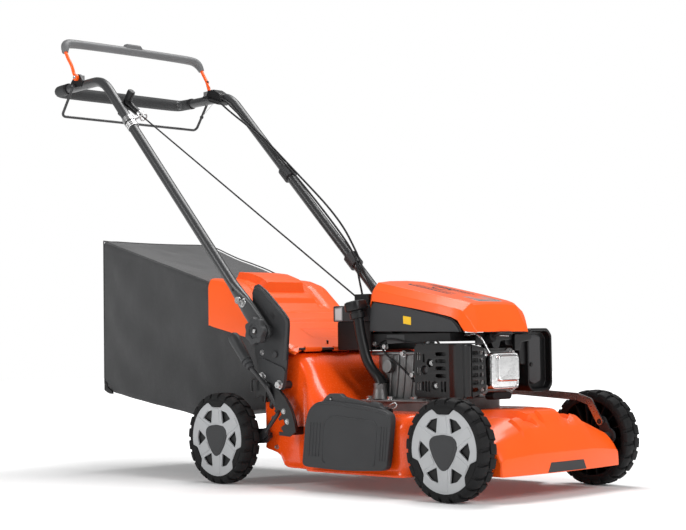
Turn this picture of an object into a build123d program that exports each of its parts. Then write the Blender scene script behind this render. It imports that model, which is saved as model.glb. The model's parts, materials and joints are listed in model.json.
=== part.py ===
from build123d import *
import math
import os

# A walk-behind petrol lawn mower, in millimetres.
# The build frame has its X zero on the rear wheel axle, X forward, Y to the mower's left and Z up
# from the ground. Every piece is moved back by ORIGIN_X when it is written, so that the written
# frame starts under the middle of the whole mower.

# Wheels, all four alike.
WHEEL_R = 105.0
WHEELBASE = 703.0
WHEEL_Y = 240.9
TYRE_W = 49.4
RIM_R = 88.0
AXLE_Z = 105.0
SHAFT_R = 8.0
RUNNING_FIT = 0.05

# Deck: a steel shell with a raised rear chute.
DECK_TOP = 172.0
SKIRT_Z = 45.0
SHELL_T = 2.5
CHUTE_Y = 190.0
CHUTE_TOP = 300.0
CHUTE_REAR_X = 88.0
OUTLET_Y = 140.0
CHUTE_FLOOR_Z = 158.0
NOSE_Y = 194.0
NOSE_FRONT_X = 796.0

# Height adjustment: both axles swing on pivots that stand ahead of their wheels.
REAR_PIVOT = (105.0, 112.0)
FRONT_PIVOT = (763.0, 112.0)
REAR_LINK_PIN = (77.0, 166.0)
FRONT_LINK_PIN = (747.0, 143.0)
ARM_Y = 204.0
ARM_T = 6.0
LINK_Y = 196.0
LINK_T = 4.0

# Cutting system and engine.
CRANK_X = 430.0
BLADE_R = 226.0
BLADE_Z = 62.0
BELT_Z = 129.0
CRANK_PULLEY_R = 25.0
CRANK_R = 12.5
CRANK_LOW = 74.0
FAN_TOP = 384.0
GEARBOX_X = 45.0
GEARBOX_PULLEY_R = 35.0
COVER_Y = 113.0
COVER_REAR_X = 345.0
COVER_FRONT_X = 642.0
HOOD_REAR = (364.0, 457.0)
HOOD_FRONT = (578.0, 413.0)
OIL_TUBE_BEND = (349.0, -121.0, 284.0)
OIL_TUBE_TOP = (334.0, -128.0, 374.0)

# Handle: a bent tube from the left bracket round to the right one.
TUBE_R = 12.5
TUBE_WALL = 1.5
TUBE_LOW = (140.0, 236.0, 346.0)
TUBE_BEND = (-500.0, 214.0, 1008.0)
TUBE_CORNER = (-713.0, 208.0, 1004.0)
GRIP_R = 16.5
CABLE_R = 2.5
FOLD_PIVOT = (135.0, 351.0)
PIVOT_BOLT_R = 5.0
BRACKET_BOLTS = [(116.0, 246.5), (173.0, 229.0)]
UPPER_BAIL_PIVOT = (-598.0, 1026.0)
LOWER_BAIL_PIVOT = (-612.0, 1005.0)
BAIL_Y = 231.0

# Recoil starter rope, from the engine's outlet to the eye on the right tube.
ROPE_OUTLET = (285.0, -80.0, 423.0)
ROPE_EYE = (-372.0, -182.0, 900.0)
ROPE_R = 2.0
GRIP_OFFSET = 72.0

# Rear flap and side cover hinges, and the bag's mouth and half widths.
FLAP_HINGE = (208.0, 309.0)
SIDE_HINGE = (-226.0, 184.0)
BAG_REAR_Y = 179.0
BAG_MOUTH_X = 86.0
BAG_MOUTH_Y = 144.0

ORIGIN_X = (WHEELBASE + WHEEL_R + TUBE_CORNER[0] - GRIP_R) / 2


# ---- Shape helpers ----


def block(x0, x1, y0, y1, z0, z1):
    """A box between its limits."""
    return Pos((x0 + x1) / 2, (y0 + y1) / 2, (z0 + z1) / 2) * Box(x1 - x0, y1 - y0, z1 - z0)


def side_plane(y):
    """A plane facing -Y, whose local axes are X and Z."""
    return Plane(origin=(0, y, 0), x_dir=(1, 0, 0), z_dir=(0, -1, 0))


def side_plate(outline, y0, y1):
    """A plate with an X-Z outline, between two Y values."""
    return extrude(side_plane(y1) * make_face(Polyline(*outline, close=True)), y1 - y0)


def front_plate(outline, x0, x1):
    """A plate with a Y-Z outline, between two X values."""
    plane = Plane(origin=(x0, 0, 0), x_dir=(0, 1, 0), z_dir=(1, 0, 0))
    return extrude(plane * make_face(Polyline(*outline, close=True)), x1 - x0)


def plan_plate(outline, z0, z1):
    """A plate with an X-Y outline, between two Z values."""
    return extrude(Plane.XY.offset(z0) * make_face(Polyline(*outline, close=True)), z1 - z0)


def rod(start, end, radius):
    """A round bar between two points."""
    start = Vector(start)
    along = Vector(end) - start
    return extrude(Plane(origin=start, z_dir=along) * Circle(radius), along.length)


def cross_rod(x, z, radius, y0, y1):
    """A round bar along Y."""
    return rod((x, y0, z), (x, y1, z), radius)


def post(x, y, radius, z0, z1):
    """A round bar along Z."""
    return rod((x, y, z0), (x, y, z1), radius)


def mirrored(shape):
    """The same shape on the other side of the mower."""
    return mirror(shape, about=Plane.XZ)


def both_sides(shape):
    """The shape and its mirror image, as separate solids."""
    return group(shape, mirrored(shape))


def solids_of(shape):
    """The solids of a shape, as a plain list."""
    return list(shape.solids())


def group(*shapes):
    """Several pieces that stay separate solids in one node."""
    return Compound([solid for shape in shapes for solid in solids_of(shape)])


def mirrored_outline(half):
    """A closed plan outline from the points of its +Y half."""
    return [*half, *[(x, -y) for x, y in reversed(half)]]


def strip(points, y0, y1, half_width):
    """A flat bar that follows X-Z points, rounded at each of them."""
    bar = None
    for x, z in points:
        disc = cross_rod(x, z, half_width, y0, y1)
        bar = disc if bar is None else bar + disc
    for (x0, z0), (x1, z1) in zip(points, points[1:]):
        length = math.hypot(x1 - x0, z1 - z0)
        dx = -(z1 - z0) / length * half_width
        dz = (x1 - x0) / length * half_width
        corners = [(x0 + dx, z0 + dz), (x1 + dx, z1 + dz), (x1 - dx, z1 - dz), (x0 - dx, z0 - dz)]
        bar += side_plate(corners, y0, y1)
    return bar


def bent_bar(points, radii, radius):
    """A round bar of straight runs joined by arcs."""
    path = FilletPolyline(*points, radius=radii)
    return sweep(Plane(origin=path @ 0, z_dir=path % 0) * Circle(radius), path=path)


def cord_radii(points):
    """The arc radius at each inner point, as large as its two runs allow."""
    radii = []
    for before, here, after in zip(points, points[1:], points[2:]):
        run_in = Vector(*here) - Vector(*before)
        run_out = Vector(*after) - Vector(*here)
        half_turn = math.radians(run_in.get_angle(run_out)) / 2
        radii.append(0.45 * min(run_in.length, run_out.length) / math.tan(half_turn))
    return radii


def tube_centre(x, side=1):
    """A point on a side tube's centreline, at a given X."""
    share = (x - TUBE_LOW[0]) / (TUBE_BEND[0] - TUBE_LOW[0])
    y = TUBE_LOW[1] + share * (TUBE_BEND[1] - TUBE_LOW[1])
    z = TUBE_LOW[2] + share * (TUBE_BEND[2] - TUBE_LOW[2])
    return Vector(x, side * y, z)


def tube_collar(x, side, length, thickness):
    """A ring clamped round a side tube."""
    along = (Vector(*TUBE_BEND) - Vector(*TUBE_LOW)).normalized()
    along = Vector(along.X, side * along.Y, along.Z)
    plane = Plane(origin=tube_centre(x, side), z_dir=along)
    ring = plane * (Circle(TUBE_R + thickness) - Circle(TUBE_R + RUNNING_FIT))
    return extrude(ring, length)


# ---- Wheels ----


def wheel_revolve(profile):
    """A ring turned about the wheel's own Y axis, from (radius, y) points."""
    return revolve(Plane.XY * make_face(Polyline(*profile, close=True)), Axis.Y, 360)


def tyre():
    half = TYRE_W / 2
    shoulder = 9.0
    wall_r = WHEEL_R - shoulder
    profile = [
        (RIM_R, -half), (wall_r, -half), (WHEEL_R, -half + shoulder),
        (WHEEL_R, half - shoulder), (wall_r, half), (RIM_R, half),
    ]
    return wheel_revolve(profile)


def spoke_window(angle):
    """One three-sided window between two spokes, cut right through the web."""
    inner_r, outer_r = 41.0, 70.0
    corners = [
        (inner_r * math.cos(angle), inner_r * math.sin(angle)),
        (outer_r * math.cos(angle - math.radians(20)), outer_r * math.sin(angle - math.radians(20))),
        (outer_r * math.cos(angle + math.radians(20)), outer_r * math.sin(angle + math.radians(20))),
    ]
    return side_plate(corners, -TYRE_W, TYRE_W)


def hub_cap():
    """The lobed cap over the hub, outboard of the web."""
    disc_r, lobe_r, lobe_at = 28.0, 14.0, 24.0
    y0, y1 = 18.5, TYRE_W / 2
    cap = cross_rod(0, 0, disc_r, y0, y1)
    for step in range(3):
        angle = math.radians(30 + 120 * step)
        cap += cross_rod(lobe_at * math.cos(angle), lobe_at * math.sin(angle), lobe_r, y0, y1)
    return cap


def rim():
    """The barrel, the six-window web and the hub, with the hub cap as a separate solid."""
    barrel_in, barrel_half = 83.0, 22.0
    hub_r, hub_in, hub_out = 22.0, -TYRE_W / 2, 18.0
    web_in, web_out = 9.0, 17.0
    bore = SHAFT_R + RUNNING_FIT
    barrel = wheel_revolve([
        (barrel_in, -barrel_half), (RIM_R, -barrel_half), (RIM_R, barrel_half), (barrel_in, barrel_half),
    ])
    web = wheel_revolve([(bore, web_in), (barrel_in + 1, web_in), (barrel_in + 1, web_out), (bore, web_out)])
    hub = wheel_revolve([(bore, hub_in), (hub_r, hub_in), (hub_r, hub_out), (bore, hub_out)])
    body = barrel + web + hub
    for step in range(6):
        body -= spoke_window(math.radians(60 * step))
    return group(body, hub_cap())


def at_wheel(shape, x, side):
    """A wheel piece, made for the left, put at one corner of the mower."""
    placed = shape if side > 0 else mirrored(shape)
    return Pos(x, side * WHEEL_Y, AXLE_Z) * placed


# ---- Axles, height adjustment and drive ----


def arm_plate(pivot, axle, side_pin=None):
    """The plate that carries one wheel, from the pivot to the axle."""
    boss_r, pin_boss_r = 17.0, 11.0
    plate = strip([pivot, axle], ARM_Y, ARM_Y + ARM_T, boss_r)
    if side_pin:
        plate += strip([pivot, side_pin], ARM_Y, ARM_Y + ARM_T, pin_boss_r)
    return plate


def link_pin(at):
    """The pin on the left arm that carries the link bar."""
    pin_r = 4.0
    return cross_rod(at[0], at[1], pin_r, LINK_Y - 2, ARM_Y)


def rear_axle():
    """Both rear arms on one cross tube, with bores for the drive shaft."""
    axle = (0.0, AXLE_Z)
    body = arm_plate(REAR_PIVOT, axle, REAR_LINK_PIN)
    body += mirrored(arm_plate(REAR_PIVOT, axle))
    body += cross_rod(REAR_PIVOT[0], REAR_PIVOT[1], SHAFT_R, -ARM_Y, ARM_Y)
    body += link_pin(REAR_LINK_PIN)
    return body - cross_rod(0, AXLE_Z, SHAFT_R + RUNNING_FIT, -WHEEL_Y, WHEEL_Y)


def front_axle():
    """Both front arms, their cross rod and the two stub axles."""
    axle = (WHEELBASE, AXLE_Z)
    stub_end = WHEEL_Y + 16.0
    body = arm_plate(FRONT_PIVOT, axle, FRONT_LINK_PIN)
    body += mirrored(arm_plate(FRONT_PIVOT, axle))
    body += cross_rod(FRONT_PIVOT[0], FRONT_PIVOT[1], SHAFT_R, -ARM_Y, ARM_Y)
    body += link_pin(FRONT_LINK_PIN)
    stub = cross_rod(WHEELBASE, AXLE_Z, SHAFT_R, ARM_Y, stub_end)
    return body + stub + mirrored(stub)


def height_link():
    """The flat bar along the left side that makes the front axle follow the rear one."""
    route = [
        REAR_LINK_PIN, (140.0, 192.0), (518.0, 206.0), (689.0, 196.0), (721.0, 186.0), FRONT_LINK_PIN,
    ]
    rear_eye, front_eye, half_width = 4.05, 6.0, 8.0
    bar = strip(route, LINK_Y, LINK_Y + LINK_T, half_width)
    bar -= cross_rod(REAR_LINK_PIN[0], REAR_LINK_PIN[1], rear_eye, LINK_Y - 1, ARM_Y)
    return bar - cross_rod(FRONT_LINK_PIN[0], FRONT_LINK_PIN[1], front_eye, LINK_Y - 1, ARM_Y)


def drive_shaft():
    """The shaft through the gearbox that carries and drives both rear wheels."""
    end = WHEEL_Y + 16.0
    return cross_rod(0, AXLE_Z, SHAFT_R, -end, end)


def gearbox():
    """The gear case on the drive shaft, with a torque lug behind the cross tube."""
    case = fillet(block(-32, 72, -42, 42, 68, 118).edges().filter_by(Axis.Y), 10)
    necks = cross_rod(0, AXLE_Z, 16, -70, 70)
    lug = block(72, REAR_PIVOT[0] - SHAFT_R - 0.3, -14, 14, 90, 112)
    case = case + necks + lug
    case -= cross_rod(0, AXLE_Z, SHAFT_R + RUNNING_FIT, -80, 80)
    return case - post(GEARBOX_X, 0, 5.05, 95, 130)


def pulley(x, groove_r, z0, flange, z1):
    """A grooved pulley about a vertical axis."""
    disc = post(x, 0, groove_r, z0, z1)
    disc += post(x, 0, groove_r + 5, z0, z0 + flange)
    return disc + post(x, 0, groove_r + 5, z1 - flange, z1)


def gearbox_pulley():
    """The input pulley and its short shaft, above the gear case."""
    disc = pulley(GEARBOX_X, GEARBOX_PULLEY_R, BELT_Z - 6, 2, BELT_Z + 6)
    return disc + post(GEARBOX_X, 0, 5, 100, BELT_Z - 5)


def belt_loop(extra):
    """The outline of the belt's run round both pulleys, as a solid."""
    big, small = GEARBOX_PULLEY_R + extra, CRANK_PULLEY_R + extra
    span = CRANK_X - GEARBOX_X
    tilt = math.asin((big - small) / span)
    sin_t, cos_t = math.sin(tilt), math.cos(tilt)
    half = [
        (GEARBOX_X + big * sin_t, big * cos_t),
        (CRANK_X + small * sin_t, small * cos_t),
    ]
    z0, z1 = BELT_Z - 3.7, BELT_Z + 3.7
    loop = plan_plate(mirrored_outline(half), z0, z1)
    return loop + post(GEARBOX_X, 0, big, z0, z1) + post(CRANK_X, 0, small, z0, z1)


def drive_belt():
    return belt_loop(4.5) - belt_loop(0.3)


def height_lever():
    """The sprung lever on the right, from the rear arm up through the slotted quadrant."""
    rod_r = 5.0
    points = [(118, -215.3, 122), (165, -216.5, 168), (145, -236, 225), (99, -245, 272)]
    lever = bent_bar(points, [14, 14], rod_r)
    foot = strip([REAR_PIVOT, (118, 122)], -ARM_Y - ARM_T - 6.4, -ARM_Y - ARM_T, 9)
    return lever + foot


def lever_grip():
    """The long plastic grip on top of the height lever."""
    low, high, grip_r = (98, -245, 273.4), (46, -245, 336), 12.0
    return rod(low, high, grip_r) + Pos(*high) * Sphere(grip_r)


# ---- Deck and its fixed pieces ----


def deck_outline(inset):
    half = [
        (150.0, 192.0), (225.0, 192.0), (265.0, 233.0), (560.0, 233.0),
        (592.0, 185.0), (645.0, 135.0), (677.0, 60.0),
    ]
    face = make_face(Polyline(*mirrored_outline(half), close=True))
    return offset(face, -inset, kind=Kind.INTERSECTION) if inset else face


def deck_chamber(inset, bottom):
    """The blade chamber's body: an upright skirt under a sloping shoulder, lower at the nose."""
    shoulder = 35.0
    nose_drop = 22.0
    top = DECK_TOP - inset
    lower = deck_outline(inset)
    upper = deck_outline(inset + shoulder)
    shoulder_z = top - shoulder
    body = extrude(Plane.XY.offset(bottom) * lower, shoulder_z - bottom)
    body += loft([Plane.XY.offset(shoulder_z) * lower, Plane.XY.offset(top) * upper], ruled=True)
    limit = [
        (0, bottom - 1), (0, top), (585 - inset, top), (600 - inset, top - nose_drop),
        (720, top - nose_drop), (720, bottom - 1),
    ]
    return body & side_plate(limit, -300, 300)


def deck_shell():
    """The steel deck in one piece: blade chamber, rear chute, pivot ears and hinge lugs."""
    wall_y = CHUTE_Y - SHELL_T
    chute = side_plate([
        (CHUTE_REAR_X, 82), (CHUTE_REAR_X, CHUTE_TOP), (205, CHUTE_TOP), (296, 222), (331, 168),
        (331, 100), (230, 100), (150, 70),
    ], -CHUTE_Y, CHUTE_Y)
    body = deck_chamber(0, SKIRT_Z) + chute
    front_of_ramp = block(193, 800, -300, 300, 0, DECK_TOP)
    body -= deck_chamber(SHELL_T, SKIRT_Z - 5) & front_of_ramp
    roof_z, floor_z, rear_x = CHUTE_TOP - SHELL_T, CHUTE_FLOOR_Z + SHELL_T, CHUTE_REAR_X + SHELL_T
    body -= side_plate([
        (rear_x, floor_z), (rear_x, roof_z), (204, roof_z), (294, 220),
        (327.5, 168), (327.5, 60), (195, 60), (150, floor_z),
    ], -wall_y, wall_y)
    body -= block(CHUTE_REAR_X - 1, rear_x + 1, -OUTLET_Y, OUTLET_Y, floor_z, roof_z)
    under_floor = [(80, CHUTE_FLOOR_Z), (80, 30), (190, 30), (190, 60), (147, CHUTE_FLOOR_Z)]
    body -= side_plate(under_floor, -wall_y, wall_y)
    body -= block(140, 215, -46, 46, 116, 142)
    body -= block(285, 520, -240, -225, 78, 134)
    body -= cross_rod(*REAR_PIVOT, SHAFT_R + RUNNING_FIT, -CHUTE_Y - 5, CHUTE_Y + 5)
    body -= post(CRANK_X, 0, 30, DECK_TOP - 10, DECK_TOP + 10)
    return body + deck_ears()


def deck_ears():
    """Lugs on the deck: the front axle's ears, the flap's ears and the side cover's ears."""
    front_ear = side_plate([(650, 70), (650, 130), (770, 128), (778, 112), (770, 96)], 174, 178)
    front_ear += block(645, 655, 100, 178, 70, 130)
    front_ear -= cross_rod(*FRONT_PIVOT, SHAFT_R + RUNNING_FIT, 170, 185)
    flap_ear = block(198, 217, CHUTE_Y - 8, CHUTE_Y, 290, 318) - cross_rod(*FLAP_HINGE, 3, 150, 200)
    ears = front_ear + mirrored(front_ear) + flap_ear + mirrored(flap_ear)
    y, z = SIDE_HINGE
    for x in (340, 508):
        ears += block(x, x + 8, y - 8, y + 30, z - 42, z + 8) - rod((x - 1, y, z), (x + 9, y, z), 3)
    return ears


def nose_body(inset, bottom):
    """The front cover's outer form, or its inside when given an inset."""
    edge_y, front_x = NOSE_Y - inset, NOSE_FRONT_X - inset
    plan = mirrored_outline([(602 - inset, edge_y), (front_x - 14, edge_y), (front_x, edge_y - 20)])
    top = 177.0 - inset
    side = [
        (590, bottom), (590, top - 6), (700, top), (738, top - 4), (762, top - 26), (779, top - 62),
        (front_x, top - 92), (front_x, bottom),
    ]
    crown = crown_outline(edge_y, top, inset, bottom)
    return plan_plate(plan, bottom, 200) & side_plate(side, -200, 200) & front_plate(crown, 580, 810)


def crown_outline(edge_y, top, inset, bottom):
    """The front cover's cross-section: a low crown between two upright sides."""
    half = [(183 - inset, top - 24), (edge_y, top - 34), (edge_y, bottom)]
    right = [(-y, z) for y, z in reversed(half)]
    return [(-100, top - 6), (0, top), (100, top - 6), *half, *right]


def front_cover():
    """The styled plastic cover over the deck's nose."""
    shell = nose_body(0, 50) - nose_body(SHELL_T, 40)
    shell -= block(580, 602, -200, 200, 0, 200)
    shell -= cross_rod(*FRONT_PIVOT, 10, -200, 200)
    return shell - block(NOSE_FRONT_X - 6, 800, -38, 88, 51.9, 72.1)


def front_insert():
    """The small grey panel let into the front cover's lower edge."""
    return block(NOSE_FRONT_X - SHELL_T, NOSE_FRONT_X - 0.2, -37.9, 87.9, 52, 72)


def bracket_plate():
    """The left handle bracket: a tall plate, its stand-offs and the pivot bolt."""
    plate_y, plate_t = 214.0, 4.0
    outline = [
        (101, 237), (87, 299), (82, 380), (80, 440), (88, 456), (101, 459), (128, 443), (151, 424),
        (187, 393), (201, 378), (203, 365), (195, 283), (192, 258), (185, 219), (150, 222),
    ]
    bracket = side_plate(outline, plate_y, plate_y + plate_t)
    for x, z in BRACKET_BOLTS:
        bracket += cross_rod(x, z, 9, CHUTE_Y, plate_y)
    bracket += cross_rod(*FOLD_PIVOT, 13, plate_y + plate_t, 222.8)
    bracket += cross_rod(*FOLD_PIVOT, PIVOT_BOLT_R, 222.8, 262.5)
    return bracket


def deck_bolts():
    """The bolt heads on the brackets and on the engine's base."""
    head_r, head_t = 7.5, 5.0
    heads = [cross_rod(x, z, head_r, 218, 218 + head_t) for x, z in BRACKET_BOLTS]
    heads += [mirrored(head) for head in heads]
    heads += [post(x, y, head_r, 198, 198 + head_t) for x in (418, 480) for y in (-110, 110)]
    return group(*heads)


def height_quadrant():
    """The slotted plate that the height lever locks into."""
    x, z = REAR_PIVOT
    y0, y1 = -226.0, -223.0
    outer_r, inner_r, slot_out, slot_in = 126.0, 76.0, 113.0, 82.0
    ring = cross_rod(x, z, outer_r, y0, y1) - cross_rod(x, z, inner_r, y0 - 1, y1 + 1)
    slot = cross_rod(x, z, slot_out, y0 - 1, y1 + 1) - cross_rod(x, z, slot_in, y0 - 2, y1 + 2)
    slot &= sector(x, z, 33, 81, y0 - 2, y1 + 2)
    plate = (ring & sector(x, z, 2, 90, y0, y1)) - slot
    foot = block(184, 218, y1, -192, 122, 134)
    return plate + foot


def sector(x, z, low_deg, high_deg, y0, y1):
    """A wedge of X-Z space seen from a centre."""
    reach = 200.0
    points = [(x, z)]
    for step in range(4):
        angle = math.radians(low_deg + (high_deg - low_deg) * step / 3)
        points.append((x + reach * math.cos(angle), z + reach * math.sin(angle)))
    return side_plate(points, y0, y1)


def side_cover():
    """The spring-loaded cover over the side discharge opening."""
    y, z = SIDE_HINGE
    x0, x1 = 284.0, 545.0
    outer = [(y - 3, z + 6), (y - 14, z - 2), (y - 27, 150), (y - 34, 66)]
    inner = [(y - 31, 66), (y - 24, 149), (y - 11.5, z - 4), (y - 3, z + 2)]
    panel = front_plate(outer + inner, x0, x1)
    trim = [(x0, 50), (x0 + 2, 168), (322, 196), (514, 196), (x1, 165), (x1 - 2, 50)]
    panel &= side_plate(trim, -280, -200)
    for gap_x in (338, 506):
        panel -= block(gap_x, gap_x + 12, y - 30, y + 20, z - 12, z + 12)
    barrel = rod((351, y, z), (505, y, z), 6)
    return (panel + barrel) - rod((340, y, z), (520, y, z), 3.05)


def hinge_rods():
    """The steel rods that carry the rear flap and the side cover."""
    x, z = FLAP_HINGE
    y, side_z = SIDE_HINGE
    return group(cross_rod(x, z, 3, -CHUTE_Y, CHUTE_Y), rod((340, y, side_z), (516, y, side_z), 3))


def flap_body(inset):
    """The rear flap's outer form, or its inside when given an inset."""
    top = [(203 - 2 * inset, 303), (9, 398 - inset), (-65, 462 - inset), (-108, 476 - inset)]
    wide, narrow = 198.0 - inset, 153.0 - inset
    if inset:
        side = [*top, (-170, 482 - inset), (-170, 250), (203 - 2 * inset, 250)]
    else:
        side = [*top, (-150, 481), (-158, 470), (-153, 376), (-140, 366), (-8, 336), (150, 304)]
    plan = mirrored_outline([(215, wide), (120, wide), (0, narrow), (-180, narrow)])
    return side_plate(side, -200, 200) & plan_plate(plan, 240, 520)


def rear_flap():
    """The shell over the chute's outlet and the front of the bag, with its hand hold."""
    flap = flap_body(0) - flap_body(3)
    flap += side_plate([(-57, 462), (-69, 492), (-112, 498), (-146, 494), (-146, 480)], -58, 58)
    x, z = FLAP_HINGE
    for y in (-150, -60, 60, 150):
        flap += cross_rod(x, z, 6.5, y - 25, y + 25) + block(196, x, y - 25, y + 25, 304.5, z + 2)
    ear_gap = block(190, 230, CHUTE_Y - 9, 197, 300, 325)
    return flap - ear_gap - mirrored(ear_gap) - cross_rod(x, z, 3.05, -200, 200)


# ---- Grass bag ----


def bag_outline(inset):
    """The bag's side outline, open at the front where it meets the chute."""
    front_x = BAG_MOUTH_X + (6 if inset else 0)
    return [
        (front_x, 340 - inset), (-112, 460 - inset), (-554 + inset, 596 - inset * 1.2),
        (-554 + inset, 225 + inset / 2), (-529 + inset / 2, 199 + inset), (-201, 143 + inset),
        (front_x, 172 + inset),
    ]


def bag_body(inset):
    """The bag's outer form, narrower at its mouth, or its inside when given an inset."""
    outline = bag_outline(inset)
    mouth_y, rear_y = BAG_MOUTH_Y - inset, BAG_REAR_Y - inset
    plan = mirrored_outline([(BAG_MOUTH_X + 6, mouth_y), (-100, mouth_y), (-554 + inset, rear_y)])
    return side_plate(outline, -200, 200) & plan_plate(plan, 100, 620)


def grass_bag():
    """The fabric bag as a closed-walled shell with its open front."""
    return bag_body(0) - bag_body(3)


def bag_frame():
    """The wire loop that holds the bag's mouth open."""
    wire_r = 3.5
    x, y, top_z, low_z = BAG_MOUTH_X - 10, BAG_MOUTH_Y - 7.5, 333.0, 183.0
    corners = [(x, y, top_z), (x, -y, top_z), (x, -y, low_z), (x, y, low_z)]
    loop = None
    for here, after in zip(corners, corners[1:] + corners[:1]):
        wire = rod(here, after, wire_r)
        loop = wire if loop is None else loop + wire
        loop += Pos(*here) * Sphere(wire_r)
    return loop


# ---- Engine ----


def crankcase():
    """The aluminium crankcase with its broad mounting flange."""
    case = fillet(block(348, 508, -96, 96, 196, 300).edges().filter_by(Axis.Z), 30)
    flange = fillet(block(335, 545, -122, 122, DECK_TOP, 198).edges().filter_by(Axis.Z), 30)
    foot = post(384, -112, 15, 198, 232)
    cavity = block(360, 496, -84, 84, DECK_TOP - 1, 288)
    case = case + flange + foot - cavity
    return case - post(CRANK_X, 0, CRANK_R + RUNNING_FIT, 150, 320)


def cylinder():
    """The finned cylinder and head, lying forward of the crankcase."""
    body = block(508, 614, -38, 38, 222, 300)
    for step in range(7):
        x = 530 + step * 12
        body += block(x, x + 4, -56, 56, 214, 306)
    return body


def valve_cover():
    """The pressed cover at the very front of the cylinder head."""
    flange = fillet(block(614, 622, -52, 52, 214, 304).edges().filter_by(Axis.X), 10)
    dome = fillet(block(622, 640, -42, 42, 222, 297).edges().filter_by(Axis.X), 10)
    plate = fillet(block(640, 648, -20, 42, 232, 288).edges().filter_by(Axis.X), 8)
    return flange + dome + plate


def muffler():
    """The exhaust box on the right, with its pipe from the cylinder head."""
    can = fillet(block(520, 638, -126, -76, 214, 308).edges().filter_by(Axis.Y), 14)
    can = can + cross_rod(572, 258, 12, -76, -56)
    return can - block(528, 630, -124, -78, 222, 300) - cross_rod(572, 258, 9, -80, -50)


def muffler_guard():
    """The slotted guard over the muffler's outer and front sides."""
    shell = fillet(block(511, 652, -138, -66, 204, 320).edges().filter_by(Axis.Y), 22)
    shell -= fillet(block(515, 648, -134, -60, 208, 316).edges().filter_by(Axis.Y), 18)
    for step in range(5):
        z = 226 + step * 17
        shell -= block(556, 626, -140, -133, z, z + 7)
        shell -= block(647, 653, -126, -84, z, z + 7)
    return shell


def air_filter():
    """The air filter housing on the left, with chamfered corners."""
    housing = block(482, 622, 116, 193, 208, 347)
    return chamfer(housing.edges().filter_by(Axis.X), 16)


def carburettor():
    """The carburettor between the air filter and the cylinder."""
    body = block(552, 592, 60, 92, 240, 288)
    return body + cross_rod(572, 262, 16, 56, 115.9) + post(572, 76, 14, 222, 240)


def spark_plug():
    """The spark plug and its boot, above the valve cover."""
    plug = rod((596, -22, 318), (634, -22, 330), 7)
    return plug + rod((612, -22, 323), (634, -22, 330), 10)


def blower_shroud():
    """The black housing round the flywheel fan, with the starter's outlet on top."""
    body = block(350, 585, -104, 104, 322, 340) + post(CRANK_X, 0, 80, 322, 392)
    body += block(300, 400, -88, -60, 406, 416)
    body += block(352, 400, -88, -60, 340, 416)
    body -= post(CRANK_X, 0, 77, 326, 389)
    body -= block(CRANK_X, 583, -88, 88, 326, 336)
    body -= post(CRANK_X, 0, 13, 300, 400)
    return body + outlet_snout()


def outlet_snout():
    """The nose that the starter rope leaves by."""
    x, y, z = ROPE_OUTLET
    nose = block(x, 330, y - 10, y + 10, z - 18, z + 8)
    return nose - rod((x - 1, y, z), (x + 12, y, z), ROPE_R + 1)


def cover_profile(inset):
    """The engine cover's side outline: a long hood that drops towards its front."""
    return [
        (COVER_REAR_X + inset, 340), (COVER_REAR_X + inset, 412), (352 + inset, 440 - inset),
        (HOOD_REAR[0], HOOD_REAR[1] - inset), (HOOD_FRONT[0], HOOD_FRONT[1] - inset),
        (622 - inset, 400 - inset), (COVER_FRONT_X - inset, 340),
    ]


def engine_hood(inset, bottom_cut):
    """The hood's body, with its sides drawn in towards the front."""
    y = COVER_Y - inset
    body = side_plate(cover_profile(inset), -y, y)
    plan = mirrored_outline([
        (COVER_REAR_X + inset, y - 22), (372, y), (590, y), (COVER_FRONT_X - inset, 83 - inset),
    ])
    half = [(64, 458), (y - 16, 452), (y, 410), (y, 330)]
    roof = [(-b, c) for b, c in reversed(half)] + half
    body &= plan_plate(plan, 300, 460)
    body &= front_plate([(b, c - inset * 0.6 if c > 400 else c) for b, c in roof], 300, 660)
    return body - block(300, 700, -200, 200, 300, bottom_cut)


def engine_cover():
    """The orange hood over the engine, open below, with a window in each side."""
    shell = engine_hood(0, 341) - engine_hood(3, 330)
    shell -= block(300, 352, -106, -54, 300, 428)
    window = [(368, 341), (368, 404), (560, 388), (596, 376), (612, 341)]
    return shell - side_plate(window, -130, 130)


def trim_panels():
    """The grey trim: the hood's side panels and top grille, and the front cover's insert."""
    outline = [(369, 345), (369, 403), (560, 387), (590, 376), (594, 345)]
    panel = side_plate(outline, COVER_Y - 3, COVER_Y)
    return group(panel, mirrored(panel), cover_grille(), front_insert())


def cover_grille():
    """The air intake grille on top of the hood."""
    thickness, half_x, half_y, mid_x, lift = 2.0, 70.0, 46.0, 473.0, 0.5
    plate = fillet(block(-half_x, half_x, -half_y, half_y, 0, thickness).edges().filter_by(Axis.Z), 12)
    for step in range(7):
        x = -58 + 17 * step
        plate -= block(x, x + 8, -36, 36, -1, thickness + 1)
    slope = (HOOD_REAR[1] - HOOD_FRONT[1]) / (HOOD_FRONT[0] - HOOD_REAR[0])
    mid_z = HOOD_REAR[1] - slope * (mid_x - HOOD_REAR[0])
    return Pos(mid_x, 0, mid_z + lift) * Rot(0, math.degrees(math.atan(slope)), 0) * plate


def fuel_tank():
    """The fuel tank behind the hood, with its filler neck."""
    shoulder_z, top_z = 369.0, 405.0
    tank = fillet(block(236, 340, -100, 88, 304, shoulder_z).edges().filter_by(Axis.Z), 12)
    tank += fillet(block(227, 340, -104, 92, shoulder_z, top_z).edges().filter_by(Axis.Z), 10)
    neck = post(285, 40, 18, top_z, 410)
    return tank + neck


def fuel_cap():
    return post(285, 40, 24, 410.3, 426)


def oil_filler_tube():
    """The slanted dipstick tube from the crankcase's right rear corner."""
    return bent_bar([(381.4, -112.7, 238.1), OIL_TUBE_BEND, OIL_TUBE_TOP], [60], 9)


def oil_cap():
    top = Vector(*OIL_TUBE_TOP)
    along = (top - Vector(*OIL_TUBE_BEND)).normalized()
    stem = rod((top + along * 0.3), (top + along * 16), 17)
    return stem + rod((top + along * 16), (top + along * 40), 23)


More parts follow.
